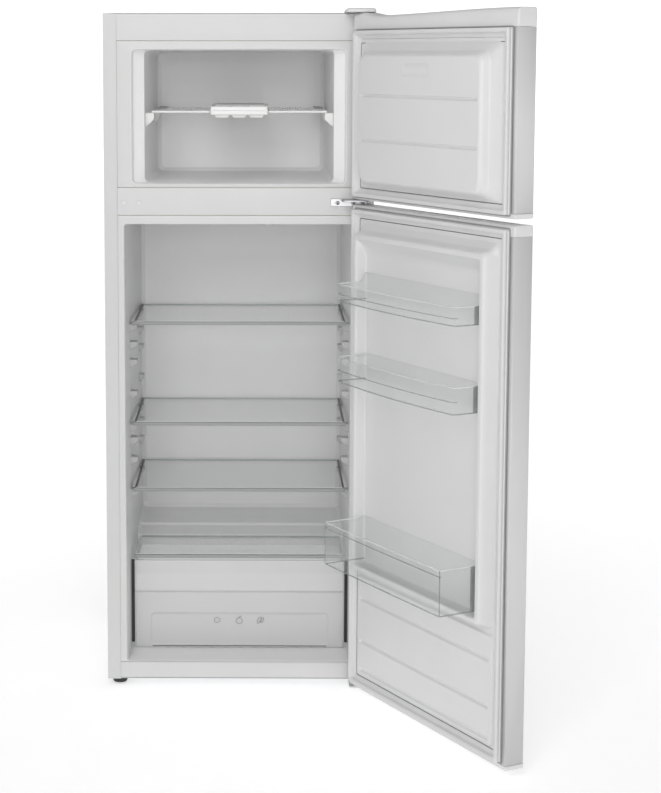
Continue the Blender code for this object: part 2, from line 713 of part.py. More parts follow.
def fridge_shelves(parent):
    """Glass shelves with a moulded trim along the front edge, each sliding out on its own."""
    for number, height in enumerate(SHELF_HEIGHTS, start=1):
        axis = new_empty(f"shelf_{number}_slide", (0, SHELF_FRONT, height), parent)
        half_glass = GLASS_THICKNESS / 2
        glass_low = (-GLASS_HALF, 5.4 * MM, -half_glass)
        glass_high = (GLASS_HALF, 295 * MM, half_glass)
        box_part(f"shelf_glass_{number}", glass_low, glass_high, GLASS, axis)
        trim_low = (-TRIM_HALF, 0, -3.4 * MM)
        trim_high = (TRIM_HALF, 5 * MM, 3.4 * MM)
        trim = box_part(f"shelf_trim_{number}", trim_low, trim_high, TRIM_PLASTIC, axis)
        bevel(trim, 1 * MM)


def crisper_cover(parent):
    axis = new_empty("crisper_cover_slide", (0, SHELF_FRONT, COVER_HEIGHT), parent)
    depth = COVER_BACK - SHELF_FRONT
    half_glass = GLASS_THICKNESS / 2
    glass_low = (-GLASS_HALF, 5.4 * MM, -half_glass)
    box_part("crisper_cover_glass", glass_low, (GLASS_HALF, depth, half_glass), GLASS, axis)
    trim_low = (-TRIM_HALF, 0, -3.4 * MM)
    trim = box_part("crisper_cover_trim", trim_low, (TRIM_HALF, 5 * MM, 3.4 * MM), TRIM_PLASTIC, axis)
    bevel(trim, 1 * MM)


def crisper_drawer(parent):
    """The vegetable drawer, open at the top, with a rounded pull along the top of its front."""
    axis = new_empty("crisper_slide", (0, SHELF_FRONT + 2 * MM, FRIDGE_FLOOR), parent)
    half = 218 * MM
    obj = open_tray(
        "crisper_drawer",
        (-half, 4 * MM, 3.2 * MM),
        (half, 150 * MM, 186 * MM),
        2.2 * MM,
        FROSTED_PLASTIC,
        axis,
    )
    bm = bmesh.new()
    add_box(bm, (-221 * MM, 0, 3.2 * MM), (221 * MM, 5 * MM, 192 * MM))
    pull = bmesh.new()
    add_rod(pull, (2 * MM, 154 * MM), -215 * MM, 215 * MM, 9 * MM, 14, axis="X")
    front = helper(bm, "crisper_front", axis)
    boolean(obj, front, "UNION")
    boolean(obj, helper(pull, "crisper_pull", axis), "UNION")


def freezer_shelf(parent):
    """The shelf with its front rim and its end cheeks, notched in the middle for the ice tray."""
    axis = new_empty("freezer_shelf_slide", (0, FREEZER_SHELF_FRONT, FREEZER_SHELF_Z), parent)
    depth = FREEZER_SHELF_BACK - FREEZER_SHELF_FRONT
    half = FREEZER_SHELF_HALF
    obj = box_part("freezer_shelf", (-half, 1 * MM, -1.5 * MM), (half, depth, 1.5 * MM), GLASS, axis)
    bm = bmesh.new()
    add_box(bm, (-half, 0, -2.5 * MM), (half, 4 * MM, 2.5 * MM))
    boolean(obj, helper(bm, "freezer_shelf_rim", axis), "UNION")
    notch_low = (-TRAY_HALF + 4 * MM, -5 * MM, -10 * MM)
    notch_high = (TRAY_HALF - 4 * MM, 236 * MM, 10 * MM)
    boolean(obj, helper_box("tray_notch", notch_low, notch_high, axis))


def ice_tray(parent):
    """The ice tray hangs in the shelf's notch by its rim, and slides out to the front."""
    axis = new_empty("ice_tray_slide", (0, FREEZER_SHELF_FRONT, FREEZER_SHELF_Z), parent)
    body_half = TRAY_HALF - 4.6 * MM
    obj = open_tray(
        "ice_tray",
        (-body_half, -3 * MM, -15 * MM),
        (body_half, 232 * MM, 11 * MM),
        1.6 * MM,
        WHITE_PLASTIC,
        axis,
    )
    rim = bmesh.new()
    for side in (-1, 1):
        xs = sorted((side * TRAY_HALF, side * (body_half - 1 * MM)))
        add_box(rim, (xs[0], -3 * MM, 3 * MM), (xs[1], 232 * MM, 11 * MM))
    boolean(obj, helper(rim, "ice_tray_rims", axis), "UNION")


def thermostat(parent):
    """The control box on the fridge's ceiling, its turning knob underneath, and the lamp's cover."""
    low = (-95 * MM, 205 * MM, CEILING_BOTTOM)
    high = (95 * MM, 285 * MM, FRIDGE_MOUTH_TOP - 8.4 * MM)
    obj = box_part("thermostat_housing", low, high, WHITE_PLASTIC, parent)
    bevel(obj, 3 * MM, 2)
    shaft_hole = bmesh.new()
    add_rod(shaft_hole, KNOB_AT, CEILING_BOTTOM - 5 * MM, CEILING_BOTTOM + 6 * MM, 14 * MM, 20)
    boolean(obj, helper(shaft_hole, "knob_well", parent))
    axis = new_empty("thermostat_knob_axis", (*KNOB_AT, CEILING_BOTTOM), parent)
    bm = bmesh.new()
    add_rod(bm, (0, 0), -5 * MM, 5 * MM, 13 * MM, 20)
    part(bm, "thermostat_knob", WHITE_PLASTIC, axis, smooth=True)
    cover_low = (-85 * MM, 212 * MM, CEILING_BOTTOM - 3.4 * MM)
    cover = box_part(
        "lamp_cover", cover_low, (20 * MM, 278 * MM, CEILING_BOTTOM - GAP), CLEAR_PLASTIC, parent
    )
    bevel(cover, 1 * MM)


# ---------------------------------------------------------------- doors


def door_axis(name, parent):
    """An empty on the hinge axis, turned so that local x runs to the free edge of the open door."""
    turn = math.radians(180 + DOOR_OPEN_DEGREES)
    return new_empty(name, (HINGE_X, HINGE_Y, 0), parent, turn)


def door_skin(name, bottom, top, axis):
    """The outer sheet: face, two edges, and a narrow return on the inside of each edge."""
    bm = bmesh.new()
    add_box(bm, (HINGE_EDGE, DOOR_INNER, bottom), (FREE_EDGE, DOOR_OUTER, top))
    unwanted = [face for face in bm.faces if abs(face.normal.z) > 0.5 or face.normal.y < -0.5]
    bmesh.ops.delete(bm, geom=unwanted, context="FACES")
    for end, direction in ((HINGE_EDGE, 1), (FREE_EDGE, -1)):
        edge = [
            edge
            for edge in bm.edges
            if all(abs(v.co.x - end) < GAP and v.co.y < 0 for v in edge.verts)
        ]
        extruded = bmesh.ops.extrude_edge_only(bm, edges=edge)["geom"]
        moved = [item for item in extruded if isinstance(item, bmesh.types.BMVert)]
        bmesh.ops.translate(bm, verts=moved, vec=(direction * 13 * MM, 0, 0))
    bmesh.ops.recalc_face_normals(bm, faces=bm.faces)
    obj = part(bm, name, WHITE_STEEL, axis)
    solidify(obj, SHEET)


def door_cap(name, bottom, top, hole_low, hole_high, axis):
    """A moulded end cap, bored for the hinge pin."""
    low = (HINGE_EDGE - 0.5 * MM, DOOR_INNER, bottom)
    high = (FREE_EDGE + 0.5 * MM, DOOR_OUTER + 0.5 * MM, top)
    obj = box_part(name, low, high, WHITE_PLASTIC, axis)
    bevel(obj, 1.5 * MM, 2)
    bm = bmesh.new()
    add_rod(bm, (0, 0), hole_low, hole_high, PIN_HOLE_RADIUS)
    boolean(obj, helper(bm, name + "_bore", axis))
    return obj


def gasket(name, bottom, top, axis):
    """The magnetic seal: a hollow-section frame, wide where it is held and narrow where it meets the cabinet."""
    base, tip = DOOR_INNER - GAP, GASKET_TIP
    outer_low, outer_high = -4 * MM, 2 * DOOR_MIDDLE + 4 * MM
    rings = [
        (outer_low, outer_high, bottom, top, base, 3 * MM),
        (outer_low + 0.5 * MM, outer_high - 0.5 * MM, bottom + 0.5 * MM, top - 0.5 * MM, tip, 3 * MM),
        (outer_low + 8 * MM, outer_high - 8 * MM, bottom + 8 * MM, top - 8 * MM, tip, 3 * MM),
        (outer_low + 17 * MM, outer_high - 17 * MM, bottom + 17 * MM, top - 17 * MM, base, 3 * MM),
    ]
    bm = bmesh.new()
    loops = [[bm.verts.new(point) for point in rounded_rectangle(*ring)] for ring in rings]
    for front, behind in zip(loops, loops[1:] + loops[:1]):
        for index in range(len(front)):
            following = (index + 1) % len(front)
            bm.faces.new((front[index], front[following], behind[following], behind[index]))
    bmesh.ops.recalc_face_normals(bm, faces=bm.faces)
    part(bm, name, GASKET_RUBBER, axis, smooth=True)


def door_rect(half, bottom, top, y, radius):
    """A ring centred on the door's width."""
    return (DOOR_MIDDLE - half, DOOR_MIDDLE + half, bottom, top, y, radius)


def freezer_door_rings():
    """A flat edge, a low step, then the raised plug that enters the freezer's mouth."""
    return [
        door_rect(LINER_HALF, 1046 * MM, 1338.6 * MM, LINER_FACE, 3 * MM),
        door_rect(232 * MM, 1048 * MM, 1332 * MM, LINER_FACE, 12 * MM),
        door_rect(229 * MM, 1051 * MM, 1329 * MM, -24 * MM, 14 * MM),
        door_rect(211 * MM, 1056 * MM, 1315 * MM, -33 * MM, 20 * MM),
        door_rect(206 * MM, 1061 * MM, 1310 * MM, -46 * MM, 22 * MM),
        door_rect(202 * MM, 1065 * MM, 1306 * MM, PLUG_FACE, 22 * MM),
    ]


def fridge_door_rings():
    """A flat edge, then a ridge round the field where the bins hang."""
    return [
        door_rect(LINER_HALF, 48 * MM, 986 * MM, LINER_FACE, 3 * MM),
        door_rect(232.5 * MM, 273 * MM, 977 * MM, LINER_FACE, 12 * MM),
        door_rect(228 * MM, 276 * MM, 964.5 * MM, -32 * MM, 13 * MM),
        door_rect(224 * MM, 280 * MM, 960 * MM, -46 * MM, 14 * MM),
        door_rect(221 * MM, 283 * MM, 957 * MM, PLUG_FACE, 16 * MM),
        door_rect(211 * MM, 290 * MM, 948 * MM, PLUG_FACE, 7 * MM),
        door_rect(208 * MM, 292 * MM, 945 * MM, -46 * MM, 6 * MM),
        door_rect(206.5 * MM, 294 * MM, 940 * MM, -27 * MM, 5 * MM),
    ]


def door_liner(name, rings, axis):
    obj = part(skin_over(rings), name, LINER_PLASTIC, axis, smooth=True)
    solidify(obj, 1.2 * MM, even=False)


def door_foam(name, bottom, top, rings, axis):
    """The filling between the skin and the liner, following the liner's raised shape."""
    margin = SHEET + GAP
    front_low, front_high = HINGE_EDGE + margin, FREE_EDGE - margin
    slab = (front_low, front_high, bottom, top)
    behind = [
        (*slab, DOOR_OUTER - margin, 0.5 * MM),
        (*slab, DOOR_INNER + margin, 0.5 * MM),
    ]
    depth = 1.8 * MM
    for ring, inward in zip(rings[1:], rings):
        rising = ring[4] < inward[4] or ring is rings[1]
        moved = grow(ring, -depth if rising else depth)
        behind.append((*moved[:4], min(ring[4] + depth, DOOR_INNER + 0.8 * MM), moved[5]))
    bm = skin_over(behind, close_front=True)
    return part(bm, name, FOAM, axis)


def freezer_door(parent):
    axis = door_axis("freezer_door_axis", parent)
    bottom_cap_top, top_cap_bottom = 1031 * MM, 1357.2 * MM
    door_skin("freezer_door_skin", bottom_cap_top + GAP, top_cap_bottom - GAP, axis)
    door_cap(
        "freezer_door_top_cap",
        top_cap_bottom,
        FREEZER_DOOR_TOP,
        FREEZER_DOOR_TOP - 14 * MM,
        FREEZER_DOOR_TOP + 4 * MM,
        axis,
    )
    door_cap(
        "freezer_door_bottom_cap",
        FREEZER_DOOR_BOTTOM,
        bottom_cap_top,
        FREEZER_DOOR_BOTTOM - 4 * MM,
        FREEZER_DOOR_BOTTOM + 7 * MM,
        axis,
    )
    rings = freezer_door_rings()
    door_liner("freezer_door_liner", rings, axis)
    door_foam("freezer_door_foam", bottom_cap_top + 2 * GAP, top_cap_bottom - 2 * GAP, rings, axis)
    gasket("freezer_door_gasket", 1028.5 * MM, 1356 * MM, axis)


def fridge_door(parent):
    axis = door_axis("fridge_door_axis", parent)
    bottom_cap_top, top_cap_bottom = 27 * MM, 991 * MM
    door_skin("fridge_door_skin", bottom_cap_top + GAP, top_cap_bottom - GAP, axis)
    top_cap = door_cap(
        "fridge_door_top_cap",
        top_cap_bottom,
        FRIDGE_DOOR_TOP,
        FRIDGE_DOOR_TOP - 12 * MM,
        FRIDGE_DOOR_TOP + 4 * MM,
        axis,
    )
    grip_low = (150 * MM, 4 * MM, FRIDGE_DOOR_TOP - 13 * MM)
    grip_high = (500 * MM, DOOR_OUTER - 3 * MM, FRIDGE_DOOR_TOP + 5 * MM)
    boolean(top_cap, helper_box("grip_scoop", grip_low, grip_high, axis))
    door_cap(
        "fridge_door_bottom_cap",
        FRIDGE_DOOR_BOTTOM,
        bottom_cap_top,
        FRIDGE_DOOR_BOTTOM - 4 * MM,
        FRIDGE_DOOR_BOTTOM + 7 * MM,
        axis,
    )
    rings = fridge_door_rings()
    door_liner("fridge_door_liner", rings, axis)
    door_foam("fridge_door_foam", bottom_cap_top + 2 * GAP, top_cap_bottom - 2 * GAP, rings, axis)
    gasket("fridge_door_gasket", 31 * MM, 1003.5 * MM, axis)
    return axis


def bin_outline(back, end, bow, radius, half):
    """Plan of a bin: straight back and ends, round front corners, and a front bowed outwards by bow."""
    points = [(DOOR_MIDDLE - half, back), (DOOR_MIDDLE - half, end + radius)]
    steps = 8
    span = 2 * (half - radius)
    for step in range(steps + 1):
        share = step / steps
        x = DOOR_MIDDLE - half + radius + span * share
        points.append((x, end - bow * 4 * share * (1 - share)))
    points.append((DOOR_MIDDLE + half, end + radius))
    points.append((DOOR_MIDDLE + half, back))
    return points


def bin_part(name, outline, bottom, top, axis):
    """An open bin with 2 mm walls, raised from its plan."""
    bm = bmesh.new()
    floor = bm.faces.new([bm.verts.new((x, y, bottom)) for x, y in outline])
    rim = bmesh.ops.extrude_edge_only(bm, edges=list(floor.edges))["geom"]
    raised = [item for item in rim if isinstance(item, bmesh.types.BMVert)]
    bmesh.ops.translate(bm, verts=raised, vec=(0, 0, top - bottom))
    bmesh.ops.recalc_face_normals(bm, faces=bm.faces)
    if floor.normal.z > 0:
        bmesh.ops.reverse_faces(bm, faces=bm.faces)
    slide = new_empty(name + "_slide", (0, 0, 0), axis)
    obj = part(bm, name, CLEAR_PLASTIC, slide, smooth=True)
    solidify(obj, 2 * MM)


def door_bins(axis):
    back = -28.6 * MM
    half = 203.5 * MM
    bin_part("door_bin_upper", bin_outline(back, -98 * MM, 10 * MM, 9 * MM, half), 828 * MM, 882 * MM, axis)
    bin_part("door_bin_middle", bin_outline(back, -98 * MM, 10 * MM, 9 * MM, half), 668 * MM, 721 * MM, axis)
    bin_part("bottle_rack", bin_outline(back, -122 * MM, 1 * MM, 4 * MM, half), 301 * MM, 390 * MM, axis)


# ---------------------------------------------------------------- assembly


def stand_on_origin(root):
    """Moves the assembly so that the middle of its footprint is at the world's origin."""
    bpy.context.view_layer.update()
    graph = bpy.context.evaluated_depsgraph_get()
    corners = []
    for obj in PARTS.objects:
        if obj.type == "MESH":
            made = obj.evaluated_get(graph)
            corners += [made.matrix_world @ vertex.co for vertex in made.to_mesh().vertices]
            made.to_mesh_clear()
    lows = [min(corner[i] for corner in corners) for i in range(3)]
    highs = [max(corner[i] for corner in corners) for i in range(3)]
    root.location = (-(lows[0] + highs[0]) / 2, -(lows[1] + highs[1]) / 2, -lows[2])


def build():
    root = new_empty("refrigerator", (0, 0, 0))
    outer_casing(root)
    back_panel(root)
    base_deck(root)
    cabinet_foam(root)
    fridge_lugs = lugs(
        "fridge_lugs",
        fridge_rings(),
        [height - 3.4 * MM for height in SHELF_HEIGHTS],
        (120 * MM, 330 * MM),
        214 * MM,
        root,
    )
    liner("fridge_liner", fridge_rings(), fridge_lugs, root)
    freezer_lugs = lugs(
        "freezer_lugs",
        freezer_rings(),
        [FREEZER_SHELF_Z - 2.5 * MM],
        (84 * MM, 300 * MM),
        174 * MM,
        root,
    )
    liner("freezer_liner", freezer_rings(), freezer_lugs, root)
    rails(root)
    top_hinge(root)
    top_hinge_cover(root)
    middle_hinge(root)
    middle_hinge_screws(root)
    hinge_hole_plugs(root)
    bottom_hinge(root)
    front_feet(root)
    rear_feet(root)
    evaporator_plate(root)
    drain_tube(root)
    compressor_mount_plate(root)
    compressor(root)
    compressor_relay_box(root)
    evaporation_tray(root)
    condenser_tube(root)
    condenser_plate(root)
    filter_drier(root)
    cable_gland(root)
    fridge_shelves(root)
    crisper_cover(root)
    crisper_drawer(root)
    freezer_shelf(root)
    ice_tray(root)
    thermostat(root)
    freezer_door(root)
    door_bins(fridge_door(root))
    stand_on_origin(root)


clear_scene()
PARTS = new_collection("top_freezer_refrigerator")
CUTTERS = new_collection("cutters")
build()
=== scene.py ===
"""Looks of the top freezer refrigerator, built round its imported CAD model.

The scene is in metres, +Z up, and the pieces are drawn in millimetres. Cabinet pieces use the cabinet's own
coordinates (front plane y = 0, middle x = 0, floor z = 0) and door pieces the door's own (origin on the
hinge axis, x to the free edge, y outwards through the door). piece() puts each one where the CAD says.
"""

import json
import math

import bmesh
import bpy
import numpy as np
from mathutils import Matrix, Vector


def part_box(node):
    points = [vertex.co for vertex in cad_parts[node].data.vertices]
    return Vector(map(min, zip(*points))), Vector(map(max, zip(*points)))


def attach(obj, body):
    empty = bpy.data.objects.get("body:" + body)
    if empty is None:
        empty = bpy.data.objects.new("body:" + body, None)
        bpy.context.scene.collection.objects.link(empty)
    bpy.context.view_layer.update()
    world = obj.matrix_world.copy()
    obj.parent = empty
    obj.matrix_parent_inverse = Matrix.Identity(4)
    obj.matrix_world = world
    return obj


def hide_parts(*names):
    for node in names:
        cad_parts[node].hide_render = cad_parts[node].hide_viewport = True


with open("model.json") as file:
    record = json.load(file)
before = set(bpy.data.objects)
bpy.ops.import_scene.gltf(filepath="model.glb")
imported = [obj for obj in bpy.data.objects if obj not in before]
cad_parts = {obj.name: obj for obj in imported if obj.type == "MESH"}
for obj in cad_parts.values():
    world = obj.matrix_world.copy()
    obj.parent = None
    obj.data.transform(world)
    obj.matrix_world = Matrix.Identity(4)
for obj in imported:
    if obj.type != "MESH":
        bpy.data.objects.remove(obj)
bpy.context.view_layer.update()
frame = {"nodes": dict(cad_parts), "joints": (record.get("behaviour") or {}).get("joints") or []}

MM = 0.001

# ---- places

casing_low, casing_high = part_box("outer_casing")
CABINET = Matrix.Translation(((casing_low.x + casing_high.x) / 2, casing_low.y, 0))
joint_places = {joint["name"]: joint.get("pos_m") for joint in frame["joints"]}
hinge_x, hinge_y, _ = joint_places["fridge_door_hinge"]
DOOR_OPEN = math.radians(118.5)
DOOR = Matrix.Translation((hinge_x, hinge_y, 0)) @ Matrix.Rotation(math.pi + DOOR_OPEN, 4, "Z")
ON_DOORS = ("freezer_door", "fridge_door", "door_bin_upper", "door_bin_middle", "bottle_rack")

MOUTH_HALF = 245.1
PIN_X, PIN_Y, PIN_RADIUS = 254.5, -32.5, 4
SHELF_FRONT = 88
HINGE_EDGE, FREE_EDGE = -18, 527
DOOR_MIDDLE = (HINGE_EDGE + FREE_EDGE) / 2
DOOR_INNER, DOOR_OUTER = -20, 20.3
PANEL_HALF, PANEL_BACK = 241, -20.6

# Each compartment's wall from front to back: half width, bottom, top, depth and corner radius.
FRIDGE_RINGS = (
    (MOUTH_HALF, 54.9, 985.6, 0, 1),
    (233.3, 55.8, 969, 0.2, 6),
    (232.3, 56.2, 968, 2, 6),
    (231.8, 56.4, 967.5, 20, 7),
    (231.4, 54.6, 967.1, 34, 7),
    (230.7, 54, 966.4, 60, 8),
    (225.8, 54, 962, 248, 9),
    (225.8, 258, 962, 262, 9),
    (225.2, 269.6, 961, 298, 9),
    (225.1, 274.6, 961, 302, 9),
    (224, 287, 959, 352, 10),
    (222, 290, 957, 382, 14),
    (214, 298, 949, 390, 12),
)
FREEZER_RINGS = (
    (MOUTH_HALF, 1042.9, 1335.6, 0, 1),
    (216.2, 1048.5, 1320.5, 0.2, 9),
    (214.7, 1050, 1319, 3, 9),
    (213.7, 1050.5, 1318, 21, 9),
    (192, 1051, 1318, 36, 10),
    (182, 1054, 1314, 356, 14),
    (174, 1062, 1292, 364, 10),
)
SHELVES = (("shelf_1", 753), ("shelf_2", 540), ("shelf_3", 399))
SPARE_LUG_TOPS = (711, 673, 606, 507, 465)


# ---- materials


def new_material(name, colour, roughness, metallic=0.0, alpha=1.0, coat=0.0):
    made = bpy.data.materials.new(name)
    made.use_nodes = True
    shader = made.node_tree.nodes["Principled BSDF"]
    for socket, value in (
        ("Base Color", (*colour, 1.0)),
        ("Roughness", roughness),
        ("Metallic", metallic),
        ("Alpha", alpha),
        ("Coat Weight", coat),
    ):
        shader.inputs[socket].default_value = value
    made.diffuse_color = (*colour, alpha)
    return made, made.node_tree, shader


def add_node(tree, kind, sources=(), **values):
    """A node with some values set and its inputs fed by sources, (socket, other node's output) pairs."""
    made = tree.nodes.new("ShaderNode" + kind)
    for socket, value in values.items():
        made.inputs[socket.replace("_", " ")].default_value = value
    for socket, output in sources:
        tree.links.new(output, made.inputs[socket])
    return made


def noise(tree, scale, detail=2.0, stretch=(1.0, 1.0, 1.0)):
    """A noise texture in the piece's own coordinates. scale is in features a metre."""
    place = add_node(tree, "TexCoord").outputs["Object"]
    mapping = add_node(tree, "Mapping", [("Vector", place)], Scale=stretch).outputs["Vector"]
    return add_node(tree, "TexNoise", [("Vector", mapping)], Scale=scale, Detail=detail).outputs["Fac"]


def ramp(tree, source, low, high, dark, light):
    made = add_node(tree, "ValToRGB", [("Fac", source)])
    for element, position, colour in zip(made.color_ramp.elements, (low, high), (dark, light)):
        element.position = position
        element.color = (*colour, 1.0)
    return made.outputs["Color"]


def vary_colour(tree, shader, colour, spread, scale):
    """Slow tone changes across the surface, spread being the share by which the darkest parts differ."""
    dark = tuple(channel * (1 - spread) for channel in colour)
    tree.links.new(ramp(tree, noise(tree, scale), 0.3, 0.7, dark, colour), shader.inputs["Base Color"])


def vary_roughness(tree, shader, roughness, spread, scale, stretch=(1.0, 1.0, 1.0)):
    source = [("Value", noise(tree, scale, 3.0, stretch))]
    reach = add_node(tree, "MapRange", source, To_Min=roughness - spread, To_Max=roughness + spread)
    tree.links.new(reach.outputs["Result"], shader.inputs["Roughness"])


def bump(tree, shader, scale, height, strength, stretch=(1.0, 1.0, 1.0)):
    source = [("Height", noise(tree, scale, 2.0, stretch))]
    made = add_node(tree, "Bump", source, Strength=strength, Distance=height)
    tree.links.new(made.outputs["Normal"], shader.inputs["Normal"])


def painted_steel(name, colour, roughness=0.32):
    """Powder-coated sheet: a faint orange-peel ripple under a thin gloss."""
    made, tree, shader = new_material(name, colour, roughness, coat=0.15)
    vary_colour(tree, shader, colour, 0.015, 7)
    vary_roughness(tree, shader, roughness, 0.04, 60)
    bump(tree, shader, 520, 0.00005, 0.5)
    return made


def moulded(name, colour, roughness=0.42, grain=900, depth=0.00003, spread=0.02):
    """Moulded or vacuum-formed plastic: a fine grain and slow tone changes."""
    made, tree, shader = new_material(name, colour, roughness)
    vary_colour(tree, shader, colour, spread, 11)
    vary_roughness(tree, shader, roughness, 0.05, 90)
    bump(tree, shader, grain, depth, 0.4)
    return made


def see_through(name, colour, alpha, roughness=0.08):
    """Clear plastic or glass as a thin tinted film over what is behind it."""
    made, tree, shader = new_material(name, colour, roughness, alpha=alpha, coat=0.3)
    vary_colour(tree, shader, colour, 0.03, 9)
    vary_roughness(tree, shader, roughness, 0.03, 40)
    return made


def bare_metal(name, colour, roughness=0.35):
    """Metal with a grain drawn out along two directions."""
    grain = (1.0, 1.0, 14.0)
    made, tree, shader = new_material(name, colour, roughness, metallic=1.0)
    vary_colour(tree, shader, colour, 0.08, 40)
    vary_roughness(tree, shader, roughness, 0.08, 160, grain)
    bump(tree, shader, 380, 0.00004, 0.4, grain)
    return made


def galvanised(name, colour):
    """Zinc-coated sheet with its flat crystals."""
    roughness = 0.42
    made, tree, shader = new_material(name, colour, roughness, metallic=0.85)
    place = add_node(tree, "TexCoord").outputs["Object"]
    cells = add_node(tree, "TexVoronoi", [("Vector", place)], Scale=90)
    dark = tuple(channel * 0.86 for channel in colour)
    tree.links.new(ramp(tree, cells.outputs["Color"], 0.1, 0.9, dark, colour), shader.inputs["Base Color"])
    vary_roughness(tree, shader, roughness, 0.08, 70)
    return made


def glow(material, strength):
    """Emits white light from all round. On thin frosted plastic this is painted light, standing for the light
    the plastic passes on; on a white floor it keeps the floor evenly bright.
    """
    shader = material.node_tree.nodes["Principled BSDF"]
    shader.inputs["Emission Color"].default_value = (1.0, 1.0, 1.0, 1.0)
    shader.inputs["Emission Strength"].default_value = strength


def rear_glow(material, front, rear, start, end):
    """A glow that grows from y = start, in front of the object, to y = end behind it."""
    tree = material.node_tree
    place = add_node(tree, "NewGeometry").outputs["Position"]
    along = add_node(tree, "SeparateXYZ", [("Vector", place)]).outputs["Y"]
    limits = {"From_Min": start, "From_Max": end, "To_Min": front, "To_Max": rear}
    grow = add_node(tree, "MapRange", [("Value", along)], **limits)
    grow.interpolation_type = "SMOOTHSTEP"
    tree.links.new(grow.outputs["Result"], tree.nodes["Principled BSDF"].inputs["Emission Strength"])


def grey(level):
    return (level, level, level)


STEEL = painted_steel("white_painted_steel", grey(0.62))
CAP = moulded("white_cap_plastic", grey(0.71), 0.36)
RAIL = moulded("white_rail_plastic", grey(0.65), 0.40)
# A paler copy of the liner plastic: painted light that brightens the freezer's shaded inside.
LIGHTENED_LINER = moulded("liner_plastic_painted_light", grey(0.88), 0.38)
LINER = moulded("cabinet_liner_plastic", grey(0.77), 0.38)
DOOR_LINER = moulded("door_liner_plastic", grey(0.71), 0.36)
WHITE_PART = moulded("white_fitting_plastic", (0.85, 0.85, 0.845), 0.35)
RUBBER = moulded("gasket_vinyl", grey(0.70), 0.55, 600, 0.00004)
# Painted shade: the dark ring in the gap outside each gasket.
RECESS_SHADE = moulded("painted_gasket_edge_shade", grey(0.36), 0.6)
# Painted shade: the dark ring in each gasket's inner groove, and the dark line under the drawer front's
# field.
GROOVE_SHADE = moulded("painted_groove_shade", grey(0.17), 0.6)
# Near black: painted shade for the inside of the screws' cross slots.
SHADOW_LINE = moulded("painted_slot_shade", grey(0.10), 0.6)
GLASS = see_through("tempered_shelf_glass", (0.70, 0.72, 0.72), 0.11, 0.05)
GLASS_EDGE = see_through("ground_glass_edge", (0.42, 0.47, 0.46), 0.75, 0.2)
TRIM = moulded("grey_shelf_trim", (0.30, 0.305, 0.305), 0.34)
DARK_STRIP = moulded("dark_shelf_strip", grey(0.10), 0.4)
# A darker copy of the liner plastic: painted shade that keeps the lugs' lit faces as dim as the shaded walls.
LUG = moulded("lug_plastic_painted_shade", grey(0.52))
CLEAR = see_through("clear_bin_plastic", (0.74, 0.77, 0.765), 0.07, 0.06)
CLEAR_EDGE = see_through("clear_bin_edge", (0.33, 0.35, 0.35), 0.50, 0.1)
# Whiter and more opaque than the clear walls: a rim with a painted highlight along it.
CLEAR_RIM = see_through("clear_bin_rim", (0.88, 0.90, 0.90), 0.62)
FROSTED = see_through("frosted_drawer_plastic", (0.85, 0.86, 0.86), 0.40, 0.3)
# The frosted drawer plastic glows though it is no lamp: painted light for what it lets through.
glow(FROSTED, 0.22)
FROSTED_FRONT = moulded("frosted_drawer_front", grey(0.62), 0.42, 900, 0.00001, 0.01)
MARK = moulded("raised_drawer_mark", grey(0.30), 0.4)
HINGE = bare_metal("zinc_plated_steel", (0.46, 0.46, 0.47), 0.34)
SCREW = bare_metal("screw_steel", (0.55, 0.55, 0.56), 0.28)
ZINC = galvanised("galvanised_sheet", (0.62, 0.63, 0.64))
BLACK_PLASTIC = moulded("black_plastic", (0.025, 0.025, 0.027), 0.45)
BLACK_STEEL = moulded("black_enamel", grey(0.02), 0.35, 300, 0.00006)
COPPER = bare_metal("drawn_copper", (0.72, 0.36, 0.22), 0.28)
ALUMINIUM = bare_metal("evaporator_aluminium", (0.72, 0.72, 0.73), 0.4)
FOAM = moulded("polyurethane_foam", (0.78, 0.70, 0.45), 0.9, 250, 0.0006, 0.08)
NEUTRAL = moulded("pale_floor_paint", grey(0.93), 0.8)
glow(NEUTRAL, 0.3)
rear_glow(NEUTRAL, 0.29, 0.70, -2.6, 3.2)


# ---- mesh tools


# What the add_ functions draw into, in millimetres.
DRAFT = bmesh.new()


def link(obj):
    bpy.context.scene.collection.objects.link(obj)
    return obj


def face_outwards():
    bmesh.ops.recalc_face_normals(DRAFT, faces=DRAFT.faces)


def take_draft(name, material):
    """Makes an object of what has been drawn, and empties the draft for the next one."""
    mesh = bpy.data.meshes.new(name)
    DRAFT.to_mesh(mesh)
    DRAFT.clear()
    mesh.materials.append(material)
    mesh.shade_smooth()
    return link(bpy.data.objects.new(name, mesh))


def piece(name, body, material, replaces=None, smooth=32, outward=True):
    """Turns the draft into a piece that rides on its body. outward turns all its faces outwards."""
    if outward:
        face_outwards()
    DRAFT.transform((DOOR if body in ON_DOORS else CABINET) @ Matrix.Scale(MM, 4))
    obj = take_draft(name, material)
    obj.data.set_sharp_from_angle(angle=math.radians(smooth))
    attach(obj, body)
    if replaces:
        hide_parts(replaces)
    return obj


def thicken(obj, thickness):
    modifier = obj.modifiers.new("Sheet", "SOLIDIFY")
    modifier.thickness = thickness * MM
    modifier.offset = -1


def round_edges(obj, width, segments=2, angle=40):
    modifier = obj.modifiers.new("Edges", "BEVEL")
    modifier.width = width * MM
    modifier.segments = segments
    modifier.limit_method = "ANGLE"
    modifier.angle_limit = math.radians(angle)
    modifier.harden_normals = False


def add_box(low, high):
    low, high = Vector(low), Vector(high)
    place = Matrix.Translation((low + high) / 2) @ Matrix.Diagonal((*(high - low), 1.0))
    bmesh.ops.create_cube(DRAFT, size=1.0, matrix=place)


def boxes(name, body, material, slot, edges, *corners):
    """A piece made of boxes with rounded edges, each given by its low and high corner."""
    for low, high in corners:
        add_box(low, high)
    round_edges(piece(name, body, material), edges)


